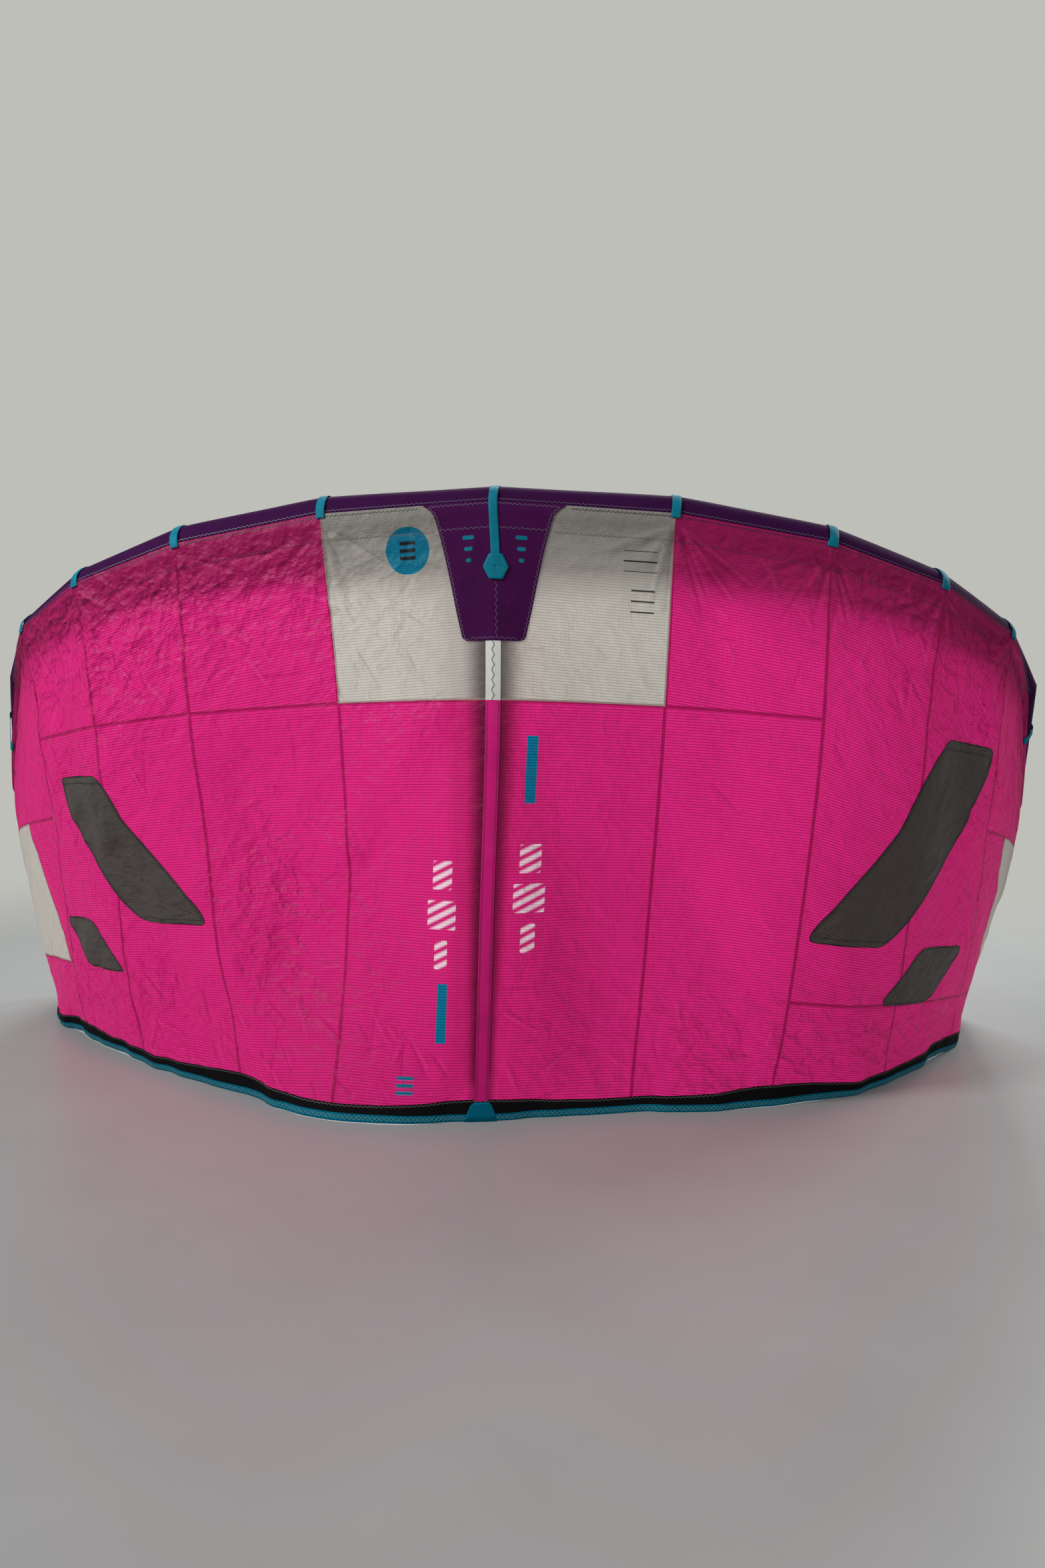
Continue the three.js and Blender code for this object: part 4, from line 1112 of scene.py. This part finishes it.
def patchGrid():
    bottom = centre["patchLevels"][-1]
    vs = np.linspace(0.0005, bottom, 60)
    half = np.interp(vs, centre["patchLevels"], centre["patchHalf"])
    toEnd = (bottom - vs) * canopy["foldDrop"] / mm
    inCorner = np.clip(1 - toEnd / centre["corner"], 0, 1)
    half = half - centre["corner"] * (1 - np.sqrt(1 - inCorner ** 2))
    s = np.linspace(-1, 1, 61)
    return half[:, None] * s * perMm, np.repeat(vs[:, None], 61, 1)


patchU, patchV = patchGrid()
obj, size, area = sheetGrid("patch_purple", clothPoint(patchU, patchV, centre["patchLift"]))
settle(obj, finishes["purple"], ["centre_patch"], size, area)


def strip(name, top, bottom, finish, node):
    vs = np.linspace(top, bottom, round((bottom - top) * centre["stripDrop"] / canopy["step"]))
    s = np.linspace(-centre["stripHalf"], centre["stripHalf"], 9) * perMm
    u, v = np.meshgrid(s, vs)
    obj, size, area = sheetGrid(name, clothPoint(u, v, canopy["layer"] + 0.5 * mm))
    settle(obj, finishes[finish], [node], size, area)


midV = float(seamPlace("mid", 0))
endV = float(bandTop(np.zeros(1))[0])
strip("strip_white", 0.212, midV, "whiteTape", "strut_strip_white")
strip("strip_pink", midV, endV + 0.001, "pinkTape", "strut_strip_pink")


def hexagonGrid(lift):  # a hexagon with corners left and right, slightly rounded
    a, r = np.meshgrid(np.linspace(0, 2 * np.pi, 73), np.linspace(0.02, 1, 7))
    turn = np.mod(a + np.pi / 6, np.pi / 3) - np.pi / 6
    sharp = math.cos(np.pi / 6) / np.cos(np.abs(np.mod(a, np.pi / 3) - np.pi / 6))
    reach = centre["hexagonRadius"] * np.minimum(sharp, 0.975 - 0.1 * turn ** 2) * r
    u = (centre["hexagonX"] + reach * np.cos(a)) * perMm
    v = centre["hexagonV"] + reach * np.sin(a) * mm / canopy["foldDrop"]
    return clothPoint(u, v, lift)


hexagonLift = centre["strapLift"] + 0.8 * mm
obj = shell("hexagon_teal", hexagonGrid(hexagonLift), hexagonGrid(hexagonLift + centre["strapThick"]))[0]
settle(obj, finishes["teal"], ["centre_hexagon"])


strap = {"half": 11 * mm, "thick": 1.2 * mm, "lap": 12 * mm, "topLift": 0.6 * mm, "canopyLift": 3 * mm,
         "lastAlong": 150 * mm}


def strapGrid(k, lift, endV=None, lean=0.0):
    i = k + tipAt
    last = abs(k) == 5
    middle = math.copysign(strap["lastAlong"], k) if last else 0.0
    xs = middle + np.linspace(-1, 1, 7) * strap["half"]
    angles = np.concatenate([np.linspace(210, 60, 40), np.linspace(56, canopy["seamAngle"] + 3, 12)])
    x, a = np.meshgrid(xs, angles)
    j = np.where(x < 0, i - 1, i + 1)
    here = ringPoint(np.full(a.shape, i), radiusAt[i] + a * 0, a)
    there = ringPoint(j, radiusAt[j], a)
    share = np.abs(x) / np.linalg.norm(axisAt[j] - axisAt[i], axis=-1)
    line = mixed(here, there, share[..., None])
    axis = mixed(axisAt[i] + here * 0, axisAt[j], share[..., None])
    rise = 1 - smooth(a, 25, 62)
    over = strap["topLift"] + (0.8 * mm if last else 0)
    target = canopy["tubeGap"] + (centre["strapLift"] if endV else strap["canopyLift"])
    onTube = line + unit(line - axis) * (mixed(over, target, rise) + lift)[..., None]
    lapV = endV or canopy["wrapEnd"] * strap["lap"] / (radiusAt[i] * math.radians(canopy["seamAngle"]))
    downV = np.linspace(0.0008, lapV, 60 if endV else 6)
    length = np.linalg.norm(axisAt[min(i + 1, stationCount - 1)] - axisAt[i])
    lapX, v = np.meshgrid(xs, downV)
    u = k + lapX / length + lean * v / lapV * perMm
    onCloth = clothPoint(u, v, (centre["strapLift"] if endV else strap["canopyLift"]) + lift)
    return np.concatenate([onTube, onCloth])


def makeStrap(name, k, node, **more):
    obj, size, area = shell(name, strapGrid(k, 0, **more), strapGrid(k, strap["thick"], **more))
    settle(obj, finishes["teal"], [node], size, area)


hexagonHalf = centre["hexagonRadius"] * math.cos(math.pi / 6) * mm / canopy["foldDrop"]
makeStrap("webbing_centre", 0, "strap_centre", endV=centre["hexagonV"] - hexagonHalf * 0.6,
          lean=centre["hexagonX"])
for word, side in sides:
    for k in range(1, 6):
        makeStrap(f"webbing_{k}_{word}", side * k, f"strap_{k}_{word}")
print("straps made")


insert = {
    "columns": 60,
    "rows": 90,
    "corner": 0.16,  # share of the height that the round corners take
    "inset": 0.14,   # and of the width
    "crumple": 0.35,
}
barRows = [  # side, outermost line, level at the top, columns wide, rows high
    (-1, 3.8, 0.38, 4, 5),
    (-1, 4.0, 0.69, 3, 2),
    (1, 4.0, 0.31, 4, 6),
    (1, 3.8, 0.69, 3, 2),
]
levels = [0, 0.0125, 0.025, 0.045, 0.075, 0.10, 0.13, 0.17, 0.2165, 0.26, 0.31, 0.38, 0.45, 0.51, 0.57,
          0.63, 0.69, 0.75, 0.81]


def placeOf(level, u):
    knots = [np.full(np.shape(u), 0.075), seamPlace("mid", u), seamPlace("tip", u), seamPlace("low", u),
             np.ones(np.shape(u))]
    nominal = [0.075, 0.31, 0.45, 0.81, 1]
    part = np.clip(np.searchsorted(nominal, level, side="left"), 1, 4)
    knots = np.stack(knots)
    start = np.take_along_axis(knots, (part - 1)[None], 0)[0]
    end = np.take_along_axis(knots, part[None], 0)[0]
    low, high = np.array(nominal)[part - 1], np.array(nominal)[part]
    return mixed(start, end, (level - low) / (high - low))


def greyBar(row, n):
    side, outer, level, wide, high = row
    first = int(np.argmin(np.abs(spanLines - side * outer)))
    start = levels.index(level)
    s, t = np.meshgrid(np.linspace(0, 1, insert["columns"]), np.linspace(0, 1, insert["rows"]))
    toEnd = np.clip(1 - np.minimum(t, 1 - t) / insert["corner"], 0, 1)
    inset = insert["inset"] * (1 - np.sqrt(np.maximum(1 - toEnd ** 2, 0)))
    s = mixed(inset, 1 - inset, s)
    column = first - side * (s * wide + t * high)
    u = np.interp(column, np.arange(len(spanLines)), spanLines)
    v = placeOf(np.interp(start + t * high, np.arange(len(levels)), levels), u)
    if side > 0:
        u, v = u[:, ::-1], v[:, ::-1]
    flat = bareSurface(u, v)
    across, down = arcLengths(flat)
    toSide = np.minimum(across - across[:, :1], across[:, -1:] - across)
    toEnd = np.minimum(down, down[-1:] - down)
    obj, size, area = sheetGrid(f"insert_grey_{n % 2 + 1}_{'left' if side < 0 else 'right'}",
                                clothPoint(u, v, canopy["layer"] + 0.3 * mm), flat,
                                {"edges": (toSide, toEnd),
                                 "crumple": (toEnd * 0 + insert["crumple"], toEnd * 0)})
    node = f"grey_bar_{n % 2 + 1}_{'left' if side < 0 else 'right'}"
    settle(obj, finishes["grey"], [node], size, area)
    return u, v


barOutlines = [greyBar(row, n) for n, row in enumerate(barRows)]
print("grey shapes made")


patchMarks = {"places": (-0.14, 0.16), "lengths": (30, 22, 14), "round": 4.5, "top": 0.062,
              "pitch": 0.017, "lift": 0.7 * mm}


def patchBars():
    # small teal bars on the patch, each a thin rounded piece
    radius = patchMarks["round"]
    grids = []
    for u0 in patchMarks["places"]:
        for n, length in enumerate(patchMarks["lengths"]):
            angles = np.linspace(0, 2 * np.pi, 41)
            a, r = np.meshgrid(angles, np.linspace(0.02, 1, 5))
            x = (np.sign(np.cos(a)) * (length / 2 - radius) + radius * np.cos(a)) * r
            y = radius * np.sin(a) * r
            v = patchMarks["top"] + n * patchMarks["pitch"] + y * mm / canopy["foldDrop"]
            grids.append(clothPoint(u0 + x * perMm, v, centre["patchLift"] + patchMarks["lift"]))
    return grids


def joinGrids(name, grids):
    points, faces, uvs, start = [], [], [], 0
    for grid in grids:
        points.append(grid.reshape(-1, 3))
        uvs.append(np.stack([grid[..., 0], grid[..., 2]], -1).reshape(-1, 2))
        faces.append(gridFaces(*grid.shape[:2], start=start))
        start += grid.shape[0] * grid.shape[1]
    return makeMesh(name, np.concatenate(points), np.concatenate(faces), {"cloth": np.concatenate(uvs)})


settle(joinGrids("marks_teal", patchBars()), finishes["teal"])


stitch = {"width": 1.3 * mm, "pitch": 11, "swing": 2.6}  # pitch and swing of the zigzag in mm


def stitchStrokes(u, v, lift, pitch=None, swing=None, width=None):
    # a zigzag along a line on the cloth, as flat ribbons: u and v of the line, close together
    pitch = pitch or stitch["pitch"]
    swing = stitch["swing"] if swing is None else swing
    base = clothPoint(u, v, lift)
    step = np.linalg.norm(np.diff(base, axis=0), axis=1)
    length = np.concatenate([[0], np.cumsum(step)])
    count = max(2, int(length[-1] / (pitch / 2 * mm)))
    marks = np.linspace(0, length[-1], count)
    markU, markV = np.interp(marks, length, u), np.interp(marks, length, v)
    p, n = clothPoint(markU, markV, lift), outward(markU, markV)
    along = unit(np.gradient(p, axis=0))
    side = unit(np.cross(n, along))
    p = p + side * (np.where(np.arange(count) % 2, 1, -1) * swing * mm)[:, None]
    a, b = p[:-1], p[1:]
    across = unit(np.cross(n[:-1], b - a)) * (width or stitch["width"]) / 2
    return np.stack([np.stack([a - across, a + across], 1), np.stack([b - across, b + across], 1)], 1)


def stitchPiece(name, lines, finish):
    strokes = np.concatenate(lines)
    count = len(strokes)
    points = strokes.reshape(-1, 3)
    corner = np.arange(count)[:, None] * 4
    faces = corner + np.array([[0, 1, 3, 2]])
    uv = np.stack([points[:, 0], points[:, 2]], -1)
    obj = makeMesh(name, points, faces, {"cloth": uv})
    settle(obj, finishes[finish])


onPanel = canopy["cloth"] / 2 + 0.7 * mm
topLines, bindingLines, paleLines, roseLines = [], [], [], []
for side in (-1, 1):
    lineU = side * np.linspace(0.43, 4.9, 350)
    topLines.append(stitchStrokes(lineU, lineU * 0 + 0.0075, onPanel))
    lineU = side * np.linspace(0.02, 4.9, 380)
    bindingLines.append(stitchStrokes(lineU, lineU * 0 - 0.007, 0.3 * mm, 12, 2))
    lineU = side * np.linspace(0.34, 1, 60)
    paleLines.append(stitchStrokes(lineU, lineU * 0 + 0.05, onPanel, 12, 2.2))
    lineU = side * np.linspace(1, 4.6, 320)
    roseLines.append(stitchStrokes(lineU, lineU * 0 + 0.05, onPanel, 12, 2.2))
stitchPiece("stitches_rose", roseLines, "roseThread")
onPatch = centre["patchLift"] + 0.5 * mm
bindingLines += [
    stitchStrokes(patchU[2:, 0] + 6 * perMm, patchV[2:, 0], onPatch, 13, 2.4),
    stitchStrokes(patchU[2:, -1] - 6 * perMm, patchV[2:, -1], onPatch, 13, 2.4),
    stitchStrokes(np.linspace(-60, 60, 60) * perMm, np.full(60, 0.212), onPatch, 13, 2.4),
    stitchStrokes(np.linspace(-165, 165, 90) * perMm, np.full(90, 0.006), onPatch, 12, 2.4),
    stitchStrokes(np.linspace(-138, 138, 90) * perMm, np.full(90, 0.048), onPatch, 14, 2.6),
    stitchStrokes(np.full(60, 8 * perMm), np.linspace(0.13, 0.21, 60), onPatch, 16, 3.2),
]
stitchPiece("stitches_binding", bindingLines, "plumThread")
onBand = canopy["cloth"] + 0.6 * mm
paleLines.append(stitchStrokes(edgeU, bandTop(edgeU) + 0.001, onBand + 0.2 * mm, 12, 2))
stitchPiece("stitches_pale", paleLines, "greyThread")
for u, v in barOutlines:
    for cut in ((3, slice(2, -2)), (-4, slice(2, -2)), (slice(3, -3), 2), (slice(3, -3), -3)):
        topLines.append(stitchStrokes(u[cut], v[cut], canopy["layer"] + 0.8 * mm, 8, 1.6))
stitchPiece("stitches_dark", topLines, "darkThread")

onStrip = canopy["layer"] + 1.1 * mm
palePart = [stitchStrokes(np.zeros(40), np.linspace(0.215, midV, 40), onStrip, 22, 3.2)]
stitchPiece("stitches_strip_top", palePart, "darkThread")
stripV = np.linspace(midV + 0.002, endV, 300)
stripLine = [stitchStrokes(np.full(300, x * perMm), stripV, onStrip, 10, 1.4) for x in (-15, 15)]
stitchPiece("stitches_strip", stripLine, "roseThread")
hemLines = [stitchStrokes(edgeU, above(edgeU, 11 * mm), 4 * mm, 24, 5.5, 2 * mm),
            stitchStrokes(edgeU + 0.018, above(edgeU, 11 * mm), 4.1 * mm, 24, -5.5, 2 * mm)]
stitchPiece("stitches_hem", [np.nan_to_num(line) for line in hemLines], "tealThread")
print("stitching made")


room = {
    "floor": "#9fa2a1",
    "stain": "#949796",
    "backdrop": "#bfbfb9",
    "reach": 30,
    "fade": (2.3, 4.4),  # from the kite, where the floor turns into the backdrop
    "ambient": 0.31,
    "lights": {          # place, width and height in metres, watts
        "key": ((-3.0, -2.4, 3.9), (1.4, 1.0), 165),
        "fill": ((3.8, -3.8, 2.6), (3, 2.5), 24),
        "back": ((0.3, 6.5, 5.5), (6, 3), 480),
        "window": ((5.2, 3.8, 4.8), (2, 1.5), 240),
    },
}
view = {"place": (0.309, -3.121, 1.114), "turn": 4.14, "down": 4.65, "roll": 0.47, "lens": 28.68}
cameraAt = Vector(view["place"]) + Vector(toFrame)


def floorPlane():
    # painted concrete floor, rolled: even pale grey with a faint mottle and a dull shine
    reach = room["reach"]
    mesh = bpy.data.meshes.new("floor")
    corners = [(-reach, -reach, 0), (reach, -reach, 0), (reach, reach, 0), (-reach, reach, 0)]
    mesh.from_pydata(corners, [], [(0, 1, 2, 3)])
    floor = bpy.data.objects.new("floor", mesh)
    bpy.context.scene.collection.objects.link(floor)
    material, tree = newMaterial("painted concrete")
    place = addNode(tree, "TexCoord").outputs["Object"]
    mottle = addNode(tree, "TexNoise", {"Vector": place, "Scale": 3, "Detail": 5})
    base = blend(tree, mottle, hexColour(room["floor"]), hexColour(room["stain"]))
    painted = addNode(tree, "BsdfPrincipled", {"Base Color": base, "Roughness": 0.38})
    wall = addNode(tree, "Emission", {0: hexColour(room["backdrop"]), 1: 1.0})
    far = addNode(tree, "VectorMath", {0: place}, operation="LENGTH")
    fade = addNode(tree, "MapRange", {0: far, 1: room["fade"][0], 2: room["fade"][1], 3: 0, 4: 1},
                   interpolation_type="SMOOTHSTEP")
    seen = addNode(tree, "LightPath").outputs["Is Camera Ray"]
    fade = times(tree, fade, seen)
    both = addNode(tree, "MixShader", {0: fade, 1: painted, 2: wall})
    addNode(tree, "OutputMaterial", {0: both})
    mesh.materials.append(material)


def areaLight(name, place, size, power):
    data = bpy.data.lights.new(name, "AREA")
    data.shape = "RECTANGLE"
    data.size, data.size_y = size
    data.energy = power
    light = bpy.data.objects.new(name, data)
    bpy.context.scene.collection.objects.link(light)
    light.location = place
    target = (Vector(cadBox[0]) + Vector(cadBox[1])) / 2
    light.rotation_euler = (target - Vector(place)).to_track_quat("-Z", "Y").to_euler()


floorPlane()
for name, settings in room["lights"].items():
    areaLight(name, *settings)

world = bpy.data.worlds.new("room")
bpy.context.scene.world = world
world.use_nodes = True
sky = world.node_tree
sky.nodes.clear()
rays = addNode(sky, "LightPath")
lit = addNode(sky, "Background", {0: (1, 0.99, 0.97, 1), 1: room["ambient"]})
shown = addNode(sky, "Background", {0: hexColour(room["backdrop"]), 1: 1.0})
both = addNode(sky, "MixShader", {0: rays.outputs["Is Camera Ray"], 1: lit, 2: shown})
addNode(sky, "OutputWorld", {0: both})


def makeCamera():
    data = bpy.data.cameras.new("camera")
    data.lens = view["lens"]
    data.sensor_width = 36
    camera = bpy.data.objects.new("camera", data)
    bpy.context.scene.collection.objects.link(camera)
    matrix = Matrix.Translation(cameraAt)
    for degrees, axis in ((view["turn"], "Z"), (90 - view["down"], "X"), (view["roll"], "Z")):
        matrix = matrix @ Matrix.Rotation(math.radians(degrees), 4, axis)
    camera.matrix_world = matrix
    bpy.context.scene.camera = camera


makeCamera()
bpy.context.scene.view_settings.view_transform = "Standard"
for name, flat, area in sheetNotes:
    print("sheet", name, f"{flat[0]:.3f} x {flat[1]:.3f} m, area {area:.3f}")
triangles = sum(len(p.vertices) - 2 for o in bpy.data.objects if o.type == "MESH" and not o.hide_render
                for p in o.data.polygons)
print("triangles:", triangles)
